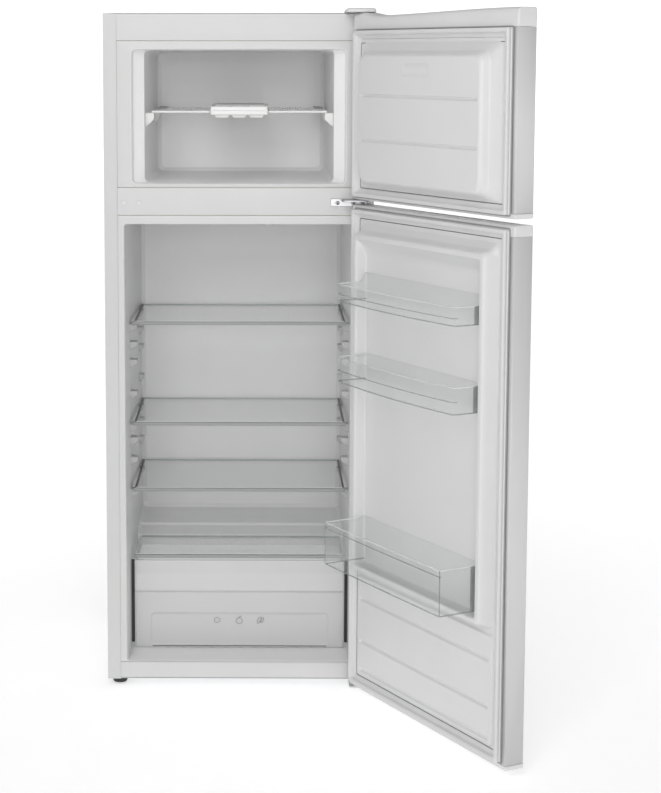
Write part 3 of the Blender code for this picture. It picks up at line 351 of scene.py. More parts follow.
def add_rod(start, end, radius, segments=20, end_radius=None):
    """A cylinder, or a cone, between two points."""
    start, end = Vector(start), Vector(end)
    along = end - start
    turn = Vector((0, 0, 1)).rotation_difference(along).to_matrix().to_4x4()
    bmesh.ops.create_cone(
        DRAFT,
        cap_ends=True,
        segments=segments,
        radius1=radius,
        radius2=radius if end_radius is None else end_radius,
        depth=along.length,
        matrix=Matrix.Translation((start + end) / 2) @ turn,
    )


def upright(x, y, low, high, radius, segments=20, end_radius=None):
    add_rod((x, y, low), (x, y, high), radius, segments, end_radius)


def arc(start, end, steps):
    """(cosine, sine) of equal turns from start to end, both given in degrees and included."""
    turns = [math.radians(start + (end - start) * step / steps) for step in range(steps + 1)]
    return [(math.cos(turn), math.sin(turn)) for turn in turns]


def circle(count):
    return arc(0, 360, count)[:-1]


def add_turned(profile, centre, steps, forwards=False):
    """A closed body of revolution about Z, or about -Y if forwards, from rows of radius and height."""
    centre = Vector(centre)
    rings = []
    for radius, height in profile:
        ring = []
        for across, along in circle(steps if radius > 0 else 1):
            at = (across * radius, along * radius, height)
            ring.append(DRAFT.verts.new(centre + Vector((at[0], -at[2], at[1]) if forwards else at)))
        rings.append(ring)
    for first, second in zip(rings, rings[1:]):
        if len(first) == len(second):
            band(first, second)
            continue
        pole, ring = sorted((first, second), key=len)
        for step in range(steps):
            DRAFT.faces.new((pole[0], ring[step], ring[(step + 1) % steps]))


def add_tube(points, radius, sides=10):
    """A round tube along a list of points, closed at both ends."""
    points = [Vector(point) for point in points]
    tangents = []
    for index in range(len(points)):
        before = points[max(index - 1, 0)]
        after = points[min(index + 1, len(points) - 1)]
        tangents.append((after - before).normalized())
    normal = tangents[0].orthogonal().normalized()
    loops = []
    for point, tangent in zip(points, tangents):
        normal = (normal - tangent * normal.dot(tangent)).normalized()
        side = tangent.cross(normal)
        loops.append([point + radius * (across * normal + along * side) for across, along in circle(sides)])
    add_loft(loops)


def rounded(x_low, x_high, z_low, z_high, radius, steps=8):
    """(x, z) points round a rectangle with round corners, anticlockwise seen from the front."""
    corners = (
        (x_high - radius, z_low + radius, -90),
        (x_high - radius, z_high - radius, 0),
        (x_low + radius, z_high - radius, 90),
        (x_low + radius, z_low + radius, 180),
    )
    points = []
    for x, z, start in corners:
        points += [(x + radius * right, z + radius * up) for right, up in arc(start, start + 90, steps)]
    return points


def spread(start, end, count):
    """Evenly spaced (x, y) points from start up to, but not including, end."""
    shares = [step / count for step in range(count)]
    return [(start[0] + (end[0] - start[0]) * t, start[1] + (end[1] - start[1]) * t) for t in shares]


def band(first, second):
    """Quads between two closed rings of vertices."""
    for index in range(len(first)):
        after = (index + 1) % len(first)
        DRAFT.faces.new((first[index], first[after], second[after], second[index]))


def add_loft(loops, closed="both"):
    """Bands between loops of points of the same length. closed is both, first, last or ring."""
    made = [[DRAFT.verts.new(point) for point in loop] for loop in loops]
    for first, second in zip(made, made[1:]):
        band(first, second)
    if closed == "ring":
        band(made[-1], made[0])
    if closed in ("both", "last"):
        DRAFT.faces.new(made[-1])
    if closed in ("both", "first"):
        DRAFT.faces.new(list(reversed(made[0])))


def add_stack(box, radius, levels, axis="z", steps=5, closed="both"):
    """Rounded rectangles one behind another along an axis, each with its inset and its place there."""
    loops = []
    for inset, at in levels:
        loop = []
        for a, b in rounded(box[0] + inset, box[1] - inset, box[2] + inset, box[3] - inset, radius, steps):
            loop.append({"x": (at, a, b), "y": (a, at, b), "z": (a, b, at)}[axis])
        loops.append(loop)
    add_loft(loops, closed)


def smooth_line(points, per_span=4):
    """More points along a line of tuples, on a Catmull-Rom curve that keeps the given points."""
    rows = [np.array(point, float) for point in points]
    rows = [2 * rows[0] - rows[1], *rows, 2 * rows[-1] - rows[-2]]
    result = []
    for a, b, c, d in zip(rows, rows[1:], rows[2:], rows[3:]):
        for t in (step / per_span for step in range(per_span)):
            bend = (2 * a - 5 * b + 4 * c - d) * t**2 + (3 * b - a - 3 * c + d) * t**3
            result.append(0.5 * (2 * b + (c - a) * t + bend))
    result.append(rows[-2])
    return [tuple(row) for row in result]


# ---- pressed and moulded panels


def lines(low, high, step, fine=(), fine_step=1.0, reach=7.0):
    """Grid positions from low to high, closer together within reach of each fine position."""
    found = {low, high}
    for index in range(int((high - low) / step) + 1):
        found.add(round(low + index * step, 3))
    for centre in fine:
        for index in range(int(-reach / fine_step), int(reach / fine_step) + 1):
            at = centre + index * fine_step
            if low < at < high:
                found.add(round(at, 3))
    ordered = sorted(found)
    kept = [ordered[0]]
    for value in ordered[1:]:
        if value - kept[-1] >= 0.6 * fine_step:
            kept.append(value)
    kept[-1] = ordered[-1]
    return np.array(kept)


def inside(x, z, rect):
    """Signed distance to a rounded rectangle (x_low, x_high, z_low, z_high, radius), positive inside."""
    x_low, x_high, z_low, z_high, radius = rect
    dx = np.abs(x - (x_low + x_high) / 2) - (x_high - x_low) / 2 + radius
    dz = np.abs(z - (z_low + z_high) / 2) - (z_high - z_low) / 2 + radius
    outside = np.hypot(np.maximum(dx, 0), np.maximum(dz, 0))
    return radius - outside - np.minimum(np.maximum(dx, dz), 0)


def between(x, z, rings):
    """Height field through nested rings, each a rounded rectangle and the height that it is at."""
    height = np.full(x.shape, float(rings[0][1]))
    for (outer, outer_height), (inner, inner_height) in zip(rings, rings[1:]):
        from_outer = np.maximum(inside(x, z, outer), 0)
        from_inner = np.maximum(-inside(x, z, inner), 0)
        share = from_outer / np.maximum(from_outer + from_inner, 1e-6)
        sloped = outer_height + share * (inner_height - outer_height)
        height = np.where(inside(x, z, outer) > 0, sloped, height)
    return height


def soften(height, xs, zs, width):
    """Rounds a height field's edges by averaging over about width each way."""
    offsets = np.linspace(-1, 1, 7) * width
    weights = np.exp(-((offsets / width) ** 2) * 2)
    for places in (xs, zs):
        total = np.zeros_like(height)
        for offset, weight in zip(offsets, weights):
            moved = np.clip(places + offset, places[0], places[-1])
            total += weight * np.array([np.interp(moved, places, row) for row in height])
        height = (total / weights.sum()).T
    return height


def fade(value, low, high):
    """0 below low, 1 above high, smooth between."""
    t = np.clip((value - low) / (high - low), 0, 1)
    return t * t * (3 - 2 * t)


def add_sheet(points):
    """A grid of quads through rows of points. Gives back its border, going round."""
    grid = [[DRAFT.verts.new(point) for point in row] for row in points]
    for row, above in zip(grid, grid[1:]):
        for index in range(len(row) - 1):
            DRAFT.faces.new((row[index], row[index + 1], above[index + 1], above[index]))
    return grid[0] + [row[-1] for row in grid[1:]] + grid[-1][-2::-1] + [row[0] for row in grid[-2:0:-1]]


def close_behind(border, behind):
    """Joins a sheet's border to the matching points behind it, and closes those with one face."""
    flat = [DRAFT.verts.new(point) for point in behind]
    band(border, flat)
    DRAFT.faces.new(flat)


def add_panel(xs, zs, height, back):
    """A closed panel whose front follows the height field and whose back is flat at y = back."""
    border = add_sheet([[(x, y, z) for x, y in zip(xs, row)] for z, row in zip(zs, height)])
    close_behind(border, [(vert.co.x, back, vert.co.z) for vert in border])


# ---- cabinet


def half_at(rings, depth):
    """A compartment's half width at a depth."""
    return float(np.interp(depth, [ring[3] for ring in rings], [ring[0] for ring in rings]))


def compartment(name, rings, replaced, material):
    loops = []
    for half, bottom, top, depth, radius in rings:
        loops.append([(x, depth, z) for x, z in rounded(-half, half, bottom, top, radius)])
    add_loft(loops, "last")
    obj = piece(name, "cabinet", material, replaced, outward=False)
    obj.data.materials.append(RAIL)
    flange = CABINET.translation.y + 0.15 * MM
    for face in obj.data.polygons:
        if face.center.y < flange:
            face.material_index = 1
    thicken(obj, 1.3)
    round_edges(obj, 1.6, 3, 28)


def wall_lug(side, wall, reach, depth, top, width, drop):
    """A moulded bracket on a side wall: a flat ledge on a tapering foot."""
    front, behind = depth - width / 2, depth + width / 2
    ledge = [(wall, front), (reach, front + 3), (reach, behind - 3), (wall, behind)]
    loops = []
    # fall is a share of the drop, and share how much of the ledge's reach is left there.
    for fall, share in ((0, 1.0), (0.45, 1.0), (0.75, 0.55), (1, 0.06)):
        loop = []
        for x, y in ledge:
            out = wall + (x - wall) * share
            loop.append((side * out, depth + (y - depth) * (0.7 + 0.3 * share), top - fall * drop))
        loops.append(loop)
    add_loft(loops)


def shelf_lugs(name, rings, material, tops, depths, reach, width, drop):
    for top in tops:
        for depth in depths:
            for side in (-1, 1):
                wall_lug(side, half_at(rings, depth) + 0.6, reach, depth, top, width, drop)
    round_edges(piece(name, "cabinet", material), 1.5, angle=30)


def floor_ribs():
    ribs = [((x, 96, 54), (x + 4, 236, 56.4)) for x in range(-180, 181, 30)]
    boxes("fridge_floor_ribs", "cabinet", LINER, "liner_plastic", 0.8, *ribs)


def rail(name, bottom, top):
    """A horizontal front strip with softly rolled edges."""
    section = [(0.9, bottom), (0.15, bottom + 0.6), (0, bottom + 1.6), (0, top - 1.6)]
    section += [(0.15, top - 0.6), (0.9, top), (1.7, top), (1.7, bottom)]
    add_loft([[(x, y, z) for y, z in section] for x in (-MOUTH_HALF, MOUTH_HALF)])
    piece(name + "_face", "cabinet", RAIL, name)


def hinge_screw(name, x, y, z):
    """A pan head facing forwards, and a near-black cross on it that paints the shade in its cross slot. y is
    the plate's face.
    """
    radius, out = 4.4, 2.6
    dome = smooth_line([(radius, 0), (radius * 0.96, out * 0.45), (radius * 0.6, out * 0.92), (0, out)], 3)
    add_turned([(0, 0), *dome[:-1], (0, out)], (x, y, z), 24, forwards=True)
    piece(name + "_head", "cabinet", SCREW, name)
    # Two thin dark boxes: painted shade where the cross slot is.
    for wide, tall in ((0.62, 0.16), (0.16, 0.62)):
        low = (x - wide * radius, y - out - 0.12, z - tall * radius)
        add_box(low, (x + wide * radius, y - out + 0.3, z + tall * radius))
    piece(name + "_slot", "cabinet", SHADOW_LINE)


def middle_hinge():
    """The plate on the middle rail, its arm between the doors, pin, washers and screws."""
    add_stack((185, 246, 1005, 1020), 2, ((0, -2.6), (0, -0.4)), "y")
    add_stack((206, 261.5, -40.5, -1), 7, ((0, 1016.8), (0, 1019.8)), steps=6)
    for low, high, radius in ((1011.6, 1013.4, 7.5), (1013.4, 1016.8, 5.5), (1019.8, 1021.6, 6.5)):
        upright(PIN_X, PIN_Y, low, high, radius, 24)
    upright(PIN_X, PIN_Y, 1001.5, 1027.5, PIN_RADIUS)
    round_edges(piece("middle_hinge_bracket", "cabinet", HINGE, "middle_hinge"), 0.5)
    for number, x in enumerate((199, 231), start=1):
        hinge_screw(f"middle_hinge_screw_{number}", x, -2.7, 1011.6)


def hole_plugs():
    """The domed caps pressed into the spare hinge holes."""
    for number, x in enumerate((-233, -202), start=1):
        profile = [(0, 0), (4.6, 0), (4.6, 0.5), (4.278, 1.0), (2.53, 1.3), (0, 1.4)]
        add_turned(profile, (x, -0.35, 1011), 24, forwards=True)
        piece(f"hinge_hole_cap_{number}", "cabinet", CAP, f"hinge_hole_plug_{number}")


def outer_hinges():
    """The top hinge under its cap, and the bottom one."""
    levels = ((0, 1391.5), (0, 1396.2), (1.0, 1398.4), (3.0, 1399.6), (5.5, 1400))
    add_stack((212.5, 272, -47.5, 68), 8, levels, steps=6, closed="last")
    thicken(piece("top_hinge_cap", "cabinet", CAP, "top_hinge_cover"), 1.6)
    add_stack((218.5, 266.5, -41.5, 62), 6, ((0, 1391.4), (0, 1394.4)))
    upright(PIN_X, PIN_Y, 1379, 1392, PIN_RADIUS)
    round_edges(piece("top_hinge_bracket", "cabinet", HINGE, "top_hinge"), 0.5)
    add_stack((227.5, 264.5, -41.5, 20), 6, ((0, 14), (0, 17.4)))
    upright(PIN_X, PIN_Y, 15, 24.2, PIN_RADIUS)
    upright(PIN_X, PIN_Y, 10.5, 14, 6.5, 6)
    round_edges(piece("bottom_hinge_bracket", "cabinet", STEEL, "bottom_hinge"), 0.6)


def feet():
    profile = [(0, 17.3), (6, 17.3), (6, 16), (12.2, 15.6), (13.8, 14.4), (14.2, 13), (14.5, 1.4), (13.6, 0)]
    profile.append((0, 0))
    for side, end in ((-1, "left"), (1, "right")):
        name, x, y = "front_foot_" + end, side * 250, 42
        add_turned(profile, (x, y, 0), 36)
        for across, along in circle(12):
            upright(x + 14.2 * across, y + 14.2 * along, 1.6, 12.4, 0.9, 8)
        round_edges(piece(name + "_pad", name, BLACK_PLASTIC, name), 0.4)
    for side, end in ((-1, "left"), (1, "right")):
        name, x, y, half = "rear_foot_" + end, side * 248, 410, 14
        add_stack((x - half, x + half, y - half, y + half), 4, ((1.6, 0), (0, 1.6), (0, 15), (2.5, 17.8)))
        piece(name + "_block", "cabinet", BLACK_PLASTIC, name)


# ---- inside the compartments


def glass_shelf(body, z, depth, nodes, side_material=DARK_STRIP):
    """A tempered plate between a front trim, two side strips and a rear one."""
    front, back = SHELF_FRONT, SHELF_FRONT + depth
    add_stack((-219, 219, front + 5.4, back), 5, ((0, z - 2), (0, z + 2)), steps=4)
    round_edges(piece(body + "_glass_plate", body, GLASS, nodes.format("glass")), 0.5)
    section = [(0.9, -3.4), (0, -2.2), (0, 1.6), (0.8, 3.0), (2.2, 3.4), (7.5, 3.3), (7.5, 2.15)]
    section += [(5.2, 2.1), (5.2, -2.1), (7.5, -2.15), (7.5, -3.3)]
    add_loft([[(x, front + y, z + up) for y, up in section] for x in (-224, 224)])
    round_edges(piece(body + "_front_trim", body, TRIM, nodes.format("trim")), 0.35)
    # A thin white rod on the trim: a painted highlight along the glass's front edge.
    highlight_line = (front + 8.2, z + 3.2)
    add_rod((-218, *highlight_line), (218, *highlight_line), 1.0, 8)
    piece(body + "_painted_highlight", body, WHITE_PART)
    sides = [((x, front + 8, z - 2.8), (x + 4, back - 4, z + 2.8)) for x in (-221, 217)]
    boxes(body + "_side_strips", body, side_material, "trim_plastic", 0.5, *sides)
    strip = ((-216, back - 1.4, z - 1.6), (216, back, z + 2.1))
    boxes(body + "_rear_strip", body, GLASS_EDGE, "shelf_glass", 0.3, strip)


def wire_shelf():
    """The freezer's coated wire shelf: rails all round, wires front to back, and a gap for the tray."""
    z, front, back, gap_back = 1193, 62.5, 343, 298
    for side in (-1, 1):
        inner, outer = side * 61.5, side * 177
        add_tube([(inner, front, z), (outer, front, z)], 2.3, 12)
        add_tube([(outer, front, z), (outer, back, z)], 2.0, 12)
        add_tube([(inner, gap_back, z), (inner, front, z)], 1.7, 10)
        for index in range(1, 20):
            x = inner + (outer - inner) * index / 20
            add_tube([(x, front - 0.5, z + 0.9), (x, back + 1, z + 0.9)], 0.9, 8)
    add_tube([(-177, back, z), (177, back, z)], 2.0, 12)
    add_tube([(-62, gap_back, z), (62, gap_back, z)], 1.7, 10)
    for x in range(-48, 49, 12):
        add_tube([(x, gap_back - 1, z + 1.2), (x, back + 1, z + 1.2)], 1.2, 8)
    piece("freezer_wire_shelf", "freezer_shelf", WHITE_PART, "freezer_shelf")
    clips = [((x, 236, z + 1.6), (x + 19, 340, z + 4.2)) for x in (-177, 158)]
    boxes("freezer_shelf_clips", "freezer_shelf", TRIM, "trim_plastic", 1, *clips)


def cell_edges(low, high, count):
    """Where a row of cells begins and ends: the rim, then each cell's two sides, then the other rim."""
    margin, wall = 3.0, 2.4
    size = (high - low - 2 * margin - (count - 1) * wall) / count
    starts = [low + margin + index * (size + wall) for index in range(count)]
    return [low] + [edge for start in starts for edge in (start, start + size)] + [high]


def add_cell(corners):
    """A tapered pocket hanging from four corners of the tray's top."""
    middle = sum((corner.co for corner in corners), Vector()) / 4
    upper = list(corners)
    for drop, share in ((14, 0.9), (21, 0.74)):
        lower = []
        for corner in corners:
            at = middle + (corner.co - middle) * share
            lower.append(DRAFT.verts.new((at.x, at.y, middle.z - drop)))
        band(upper, lower)
        upper = lower
    DRAFT.faces.new(upper)


def ice_tray():
    """The tray in its place: rows of tapered cells, a rolled rim and a front lip to pull."""
    half, front, back, top = 54.4, 57, 292, 1204
    xs = cell_edges(-half, half, 3)
    ys = cell_edges(front, back, 8)
    grid = [[DRAFT.verts.new((x, y, top - 1)) for x in xs] for y in ys]
    for j in range(len(ys) - 1):
        for i in range(len(xs) - 1):
            corners = (grid[j][i], grid[j][i + 1], grid[j + 1][i + 1], grid[j + 1][i])
            if i % 2 == 1 and j % 2 == 1:
                add_cell(corners)
            else:
                DRAFT.faces.new(corners)
    cells = piece("ice_tray_cells", "ice_tray", WHITE_PART, "ice_tray")
    thicken(cells, 1.0)
    round_edges(cells, 1.2)
    loops = []
    for inset, z in ((0.6, 1196.2), (-4.2, 1197.4), (-4.6, 1203.2), (-3.6, top), (0.9, top), (0.9, 1196.2)):
        loops.append([(x, y, z) for x, y in rounded(inset - half, half - inset, front, back, 4, 4)])
    add_loft(loops, "ring")
    piece("ice_tray_rim", "ice_tray", WHITE_PART)
    levels = ((0, front - 0.4), (0.6, front - 2.4), (2, front - 3.6), (5, front - 3.8))
    add_stack((-58.5, 58.5, 1186.6, 1204.2), 4, levels, "y")
    piece("ice_tray_front", "ice_tray", WHITE_PART)


def drawer_front():
    """The drawer's moulded front: a set-back top, a rounded pull, and a recessed field."""
    half, bottom, top, field_low, field_high = 221, 57.2, 246, 60.5, 133
    xs = lines(-half, half, 6, (-187, 187, -219, 219))
    zs = lines(bottom, top, 4, (63, 131, 181, 200, 216, 243))
    x, z = np.meshgrid(xs, zs)
    profile_z = [bottom, 62, 176, 179, 181.5, 185, 200, 216, 219, 242, top]
    profile_y = [0.5, 0, 0, -1.2, -7.6, -8.6, -4.6, -0.2, 0.3, 0.9, 1.8]
    height = 90 + np.interp(z, profile_z, profile_y)
    height += between(x, z, (
        ((-189, 189, field_low, field_high, 9), 0),
        ((-186, 186, field_low + 3, field_high - 4, 8), 3),
    ))
    height += 1.4 * (1 - fade(half - np.abs(x), 0, 3))
    add_panel(xs, zs, soften(height, xs, zs, 1.6), 94.8)
    piece("crisper_drawer_front", "crisper_drawer", FROSTED_FRONT, "crisper_drawer")


def drawer_gaps():
    """Painted shade: a dark line under the front's field and dark strips in the gaps at the drawer's sides.
    Also the sill before the drawer, whose paler plastic is painted light.
    """
    # A dark strip where the field's lower edge casts its shadow: painted shade.
    line = ((-185, 89.3, 59.6), (185, 91.5, 61.2))
    boxes("crisper_drawer_shade_line", "crisper_drawer", GROOVE_SHADE, "frosted_plastic", 0.4, line)
    # Black strips standing for the shadowed gaps beside the drawer: painted shade.
    gap_strips = [((x, 97, 66), (x + 6.4, 101, 246)) for x in (-229, 222.6)]
    boxes("crisper_side_gap_shade", "cabinet", BLACK_PLASTIC, "black_plastic", 0.8, *gap_strips)
    # The sill takes the paler liner plastic so the floor before the drawer reads lighter: painted light.
    sill = ((-227, 3, 55.4), (227, 88, 56.8))
    boxes("crisper_sill_painted_light", "cabinet", LIGHTENED_LINER, "liner_plastic", 0.4, sill)


def drawer_body():
    """Frosted sides, floor and a back whose top edge dips in the middle."""
    half, front, back, floor, top = 218, 95, 240, 57.2, 240
    outline = rounded(-half, half, front, back, 10, 6)

    def dip(x, y):
        """How far the rim falls: only along the back, and only in its middle."""
        return 13 * fade(y, back - 16, back - 6) * (1 - fade(abs(x), 120, 165))

    loops = []
    for share, inset in ((0.0, 6.0), (0.02, 3.2), (0.06, 1.6), (0.5, 0.8), (1.0, 0.0)):
        loop = []
        for x, y in outline:
            z = floor + share * (top - floor - dip(x, y))
            y = max(y, front + 0.2)
            loop.append((x * (1 - inset / half), y if y < front + 8 else y - inset, z))
        loops.append(loop)
    add_loft(loops, "first")
    thicken(piece("crisper_drawer_tub", "crisper_drawer", FROSTED), 1.8)
    corners = [point for point in outline if point[1] > front + 6]
    start = corners.index(max(corners, key=lambda point: (point[0], -point[1])))
    corners = corners[start:] + corners[:start]
    path = []
    for start, end in zip(corners, corners[1:]):
        path += spread(start, end, 30 if math.dist(start, end) > 40 else 1)
    path.append(corners[-1])
    add_tube([(x, y, top - dip(x, y)) for x, y in path], 1.6, 8)
    piece("crisper_drawer_rim", "crisper_drawer", CLEAR_RIM)


def drawer_marks():
    """Three plain raised outlines for what the drawer holds: a pod, a round fruit and a pair of leaves."""
    y, width = 91.7, 0.55
    pod = []
    for across, up in arc(0, 360, 24):
        x = 6 * across + 3.2 * across**2 - 50
        pod.append((x, y, 116 + 6.8 * up * (0.75 + 0.25 * across)))
    add_tube(pod, width, 6)
    fruit = [(6.6 * across - 0.5, y, 114.5 + 6.2 * up) for across, up in arc(0, 360, 24)]
    add_tube(fruit, width, 6)
    add_tube([(-0.5, y, 120.7), (1.0, y, 123.6), (4.2, y, 124.8)], width, 6)
    for shift, size in ((42, 7.5), (48.5, 6.0)):
        leaf = []
        for along, across in arc(0, 360, 20):
            along, across = size * along, 0.36 * size * across
            leaf.append((shift + 0.45 * along + across, y, 116 + 0.89 * along - 0.5 * across))
        add_tube(leaf, 0.5, 6)
    piece("crisper_drawer_marks", "crisper_drawer", MARK)


def thermostat():
    """The control box on the ceiling, its marked knob underneath, and the ribbed lamp cover."""
    back, length, slope, ceiling = 285, 80, 6, 959.4
    knob_x, knob_y = 60, 236
    add_stack((-95, 95, 205, back), 10, ((0, ceiling), (0, 951), (1.5, 947.2), (4.5, 946)), steps=6)
    for vert in DRAFT.verts:
        vert.co.z += slope * (ceiling - vert.co.z) / 13.4 * (back - vert.co.y) / length
    piece("thermostat_box", "cabinet", LINER, "thermostat_housing")
    ring = [(0, 950.6), (16.5, 950.6), (16.5, 948.9), (15.4, 948.3), (0, 948.3)]
    add_turned(ring, (knob_x, knob_y, 0), 32)
    piece("thermostat_dial_ring", "cabinet", TRIM)
    loops = []
    for radius, z in ((9.5, 944.0), (11.6, 944.4), (12.6, 945.5), (12.9, 949)):
        loop = []
        for step, (across, along) in enumerate(circle(36)):
            ripple = radius + (0.35 if step % 2 else 0.0)
            loop.append((knob_x + ripple * across, knob_y + ripple * along, z))
        loops.append(loop)
    add_loft(loops)
    add_box((knob_x - 1, knob_y - 11, 943.6), (knob_x + 1, knob_y - 2, 945))
    piece("thermostat_dial", "thermostat_knob", LINER, "thermostat_knob")
    add_stack((-85, 20, 212, 278), 6, ((0, 947), (0, 945), (1, 944), (3, 943.6)))
    for vert in DRAFT.verts:
        vert.co.z += slope * (back - vert.co.y) / length
    piece("lamp_lens", "cabinet", CLEAR, "lamp_cover")
    for x in (-78 + index * 11.4 for index in range(9)):
        add_tube([(x, 217, 948.7), (x, 273, 944.5)], 0.9, 8)
    piece("lamp_lens_ribs", "cabinet", CLEAR_RIM)


# ---- doors


def door_sheet(door, bottom, top):
    """The folded outer sheet: face, rounded outer corners, edges, and a narrow return on each inner edge."""
    corner, fold, returned = 2, 1.2, 13
    line = [(HINGE_EDGE + returned, DOOR_INNER), (HINGE_EDGE + fold, DOOR_INNER)]
    line.append((HINGE_EDGE, DOOR_INNER + fold))
    for across, out in arc(180, 90, 8):
        line.append((HINGE_EDGE + corner * (1 + across), DOOR_OUTER - corner * (1 - out)))
    line += [(2 * DOOR_MIDDLE - x, y) for x, y in reversed(line)]
    add_sheet([[(x, y, z) for x, y in reversed(line)] for z in (bottom, top)])
    sheet = piece(door + "_skin_folded", door, STEEL, door + "_skin", outward=False)
    thicken(sheet, 0.8)


def edge_drop(distance, radius):
    """How far a rounded edge has fallen at a distance in from it."""
    near = np.clip(radius - distance, 0, radius)
    return radius - np.sqrt(radius**2 - near**2)


def door_cap(door, end, bottom, top, inner_radius, shape=None, fine=()):
    """A moulded end cap with rounded edges. shape(x, y) says how far a top one falls at a place."""
    upwards = end == "top"
    name = f"{door}_{end}_cap"
    proud = 0.5
    x_low, x_high = HINGE_EDGE - proud, FREE_EDGE + proud
    xs = lines(x_low, x_high, 7, (x_low, x_high, *fine), 0.8, 6.5)
    shares = np.concatenate([np.linspace(0, 0.25, 14), np.linspace(0.27, 0.55, 12), np.linspace(0.57, 1, 34)])
    end_gap = np.minimum(xs - x_low, x_high - xs)
    y_high = DOOR_OUTER + proud - edge_drop(end_gap, 2.5)
    y_low = DOOR_INNER + edge_drop(end_gap, 2)
    y = y_low + shares[:, None] * (y_high - y_low)
    x = np.broadcast_to(xs, y.shape)
    drop = np.maximum(edge_drop(y - y_low, inner_radius), edge_drop(y_high - y, 5))
    drop = np.maximum(drop, edge_drop(np.broadcast_to(end_gap, y.shape), 2.5))
    if shape:
        drop = drop + shape(x, y)
    drop = np.minimum(drop, top - bottom - 1.2)
    face = top - drop if upwards else bottom + drop
    border = add_sheet(np.stack((x, y, face), axis=2))
    close_behind(border, [(vert.co.x, vert.co.y, bottom if upwards else top) for vert in border])
    piece(name + "_moulding", door, CAP, name, 40)


def seal(door, bottom, top, inner_top):
    """The magnetic gasket, a bellows section run round the door, with a flat dark ring outside and inside it:
    painted shade for its grooves.
    """
    name = door + "_gasket"
    left, right, radius, base = -4, 2 * DOOR_MIDDLE + 4, 4, -20.4
    profile = [(0, base), (0, -22), (1.6, -23.2), (1.7, -24.2), (0.4, -25.4), (0.3, -30.6), (1.3, -32)]
    profile += [(7.2, -32), (8.2, -31), (8.4, -27), (9.6, -25.4), (12.5, -24.2), (16.6, -23), (17, -22)]
    profile.append((17, base))
    add_stack((left, right, bottom, top), radius, profile, "y", closed="ring")
    piece(name + "_bellows", door, RUBBER, name, 50)
    outer = (left - 2.6, right + 2.6, bottom - 2.6, top + 2.6)
    inner = (left + 17.2, right - 17.2, bottom + 17.2, inner_top)
    # Both rings are flat strips whose dark colour is painted shade.
    for label, box, width, material in (("_recess_shade", outer, 1.8, RECESS_SHADE), ("_channel_shade", inner, 1.6, GROOVE_SHADE)):
        levels = ((0, base), (0, -21.75), (width, -21.75), (width, base))
        add_stack(box, radius, levels, "y", closed="ring")
        piece(name + label, door, material)


def door_rings(*rows):
    """Rings for a height field, from rows of half width, bottom, top, corner radius and height."""
    return [((DOOR_MIDDLE - half, DOOR_MIDDLE + half, *rest), height) for half, *rest, height in rows]


def panel_grid(bottom, top, step, places_x, places_z, fine_step, reach):
    """Grid lines over a door's liner, finer at places_x on both sides of its middle and at places_z."""
    fine_x = [DOOR_MIDDLE + side * place for side in (-1, 1) for place in places_x]
    xs = lines(DOOR_MIDDLE - PANEL_HALF, DOOR_MIDDLE + PANEL_HALF, 8, fine_x, 1, 9)
    zs = lines(bottom, top, step, places_z, fine_step, reach)
    return xs, zs, *np.meshgrid(xs, zs)


def grooves(x, z, places, half, run_out, depth, edges):
    """Height to add for level channels, each running half a width to both sides of the door's middle."""
    a, b, c, d = edges
    channels = sum(fade(z, at + a, at + b) - fade(z, at + c, at + d) for at in places)
    return depth * channels * fade(half - np.abs(x - DOOR_MIDDLE), 0, run_out)


def door_panel(door, xs, zs, height):
    add_panel(xs, zs, height, PANEL_BACK)
    piece(door + "_panel", door, DOOR_LINER, door + "_liner", 60)


def freezer_door_panel():
    rings = door_rings(
        (PANEL_HALF, 1046, 1338.6, 3, -21.6),
        (232, 1048, 1332, 12, -21.6),
        (229, 1051, 1329, 14, -24),
        (211, 1056, 1315, 20, -33),
        (206, 1061, 1310, 22, -47),
        (202, 1065, 1306, 22, -51),
    )
    places_z = (1053, 1064, 1142, 1229, 1308, 1318, 1330)
    xs, zs, x, z = panel_grid(1046, 1338.6, 6, (206, 216, 230), places_z, 0.8, 9)
    height = soften(between(x, z, rings), xs, zs, 2.2)
    height += grooves(x, z, (1146, 1233), 197, 4, 2.6, (-6, -4.6, -1, 0.4))
    door_panel("freezer_door", xs, zs, height)
    for inset, radius in ((0, 0.55), (3.5, 0.35)):
        half = 45 - inset
        outline = rounded(DOOR_MIDDLE - half, DOOR_MIDDLE + half, 1268 + inset, 1291 - inset, 10, 6)
        add_tube([(px, -51.1, pz) for px, pz in outline + outline[:1]], radius, 8)
    piece("freezer_door_blank_plaque", "freezer_door", DOOR_LINER, smooth=60)


def fridge_door_panel():
    rings = door_rings(
        (PANEL_HALF, 48, 986, 3, -21.6),
        (232.5, 273, 977, 12, -21.6),
        (228, 276, 964.5, 13, -32),
        (224, 280, 960, 14, -46),
        (221, 283, 957, 16, -50),
        (211, 290, 948, 7, -50),
        (208, 292, 945, 6, -46),
        (206.5, 294, 924, 5, -27),
    )
    lower = door_rings((236, 52, 262, 8, 0), (233.5, 54.5, 259, 9, -4.4))
    places_z = (54, 68, 128, 217, 261, 276, 292, 943, 958, 972)
    xs, zs, x, z = panel_grid(48, 986, 8, (209, 223, 233), places_z, 1, 10)
    height = between(x, z, rings) + between(x, z, lower)
    height += grooves(x, z, (68, 128, 217), 226, 8, 3.2, (-8, -4, -1, 2.5))
    door_panel("fridge_door", xs, zs, soften(height, xs, zs, 1.4))


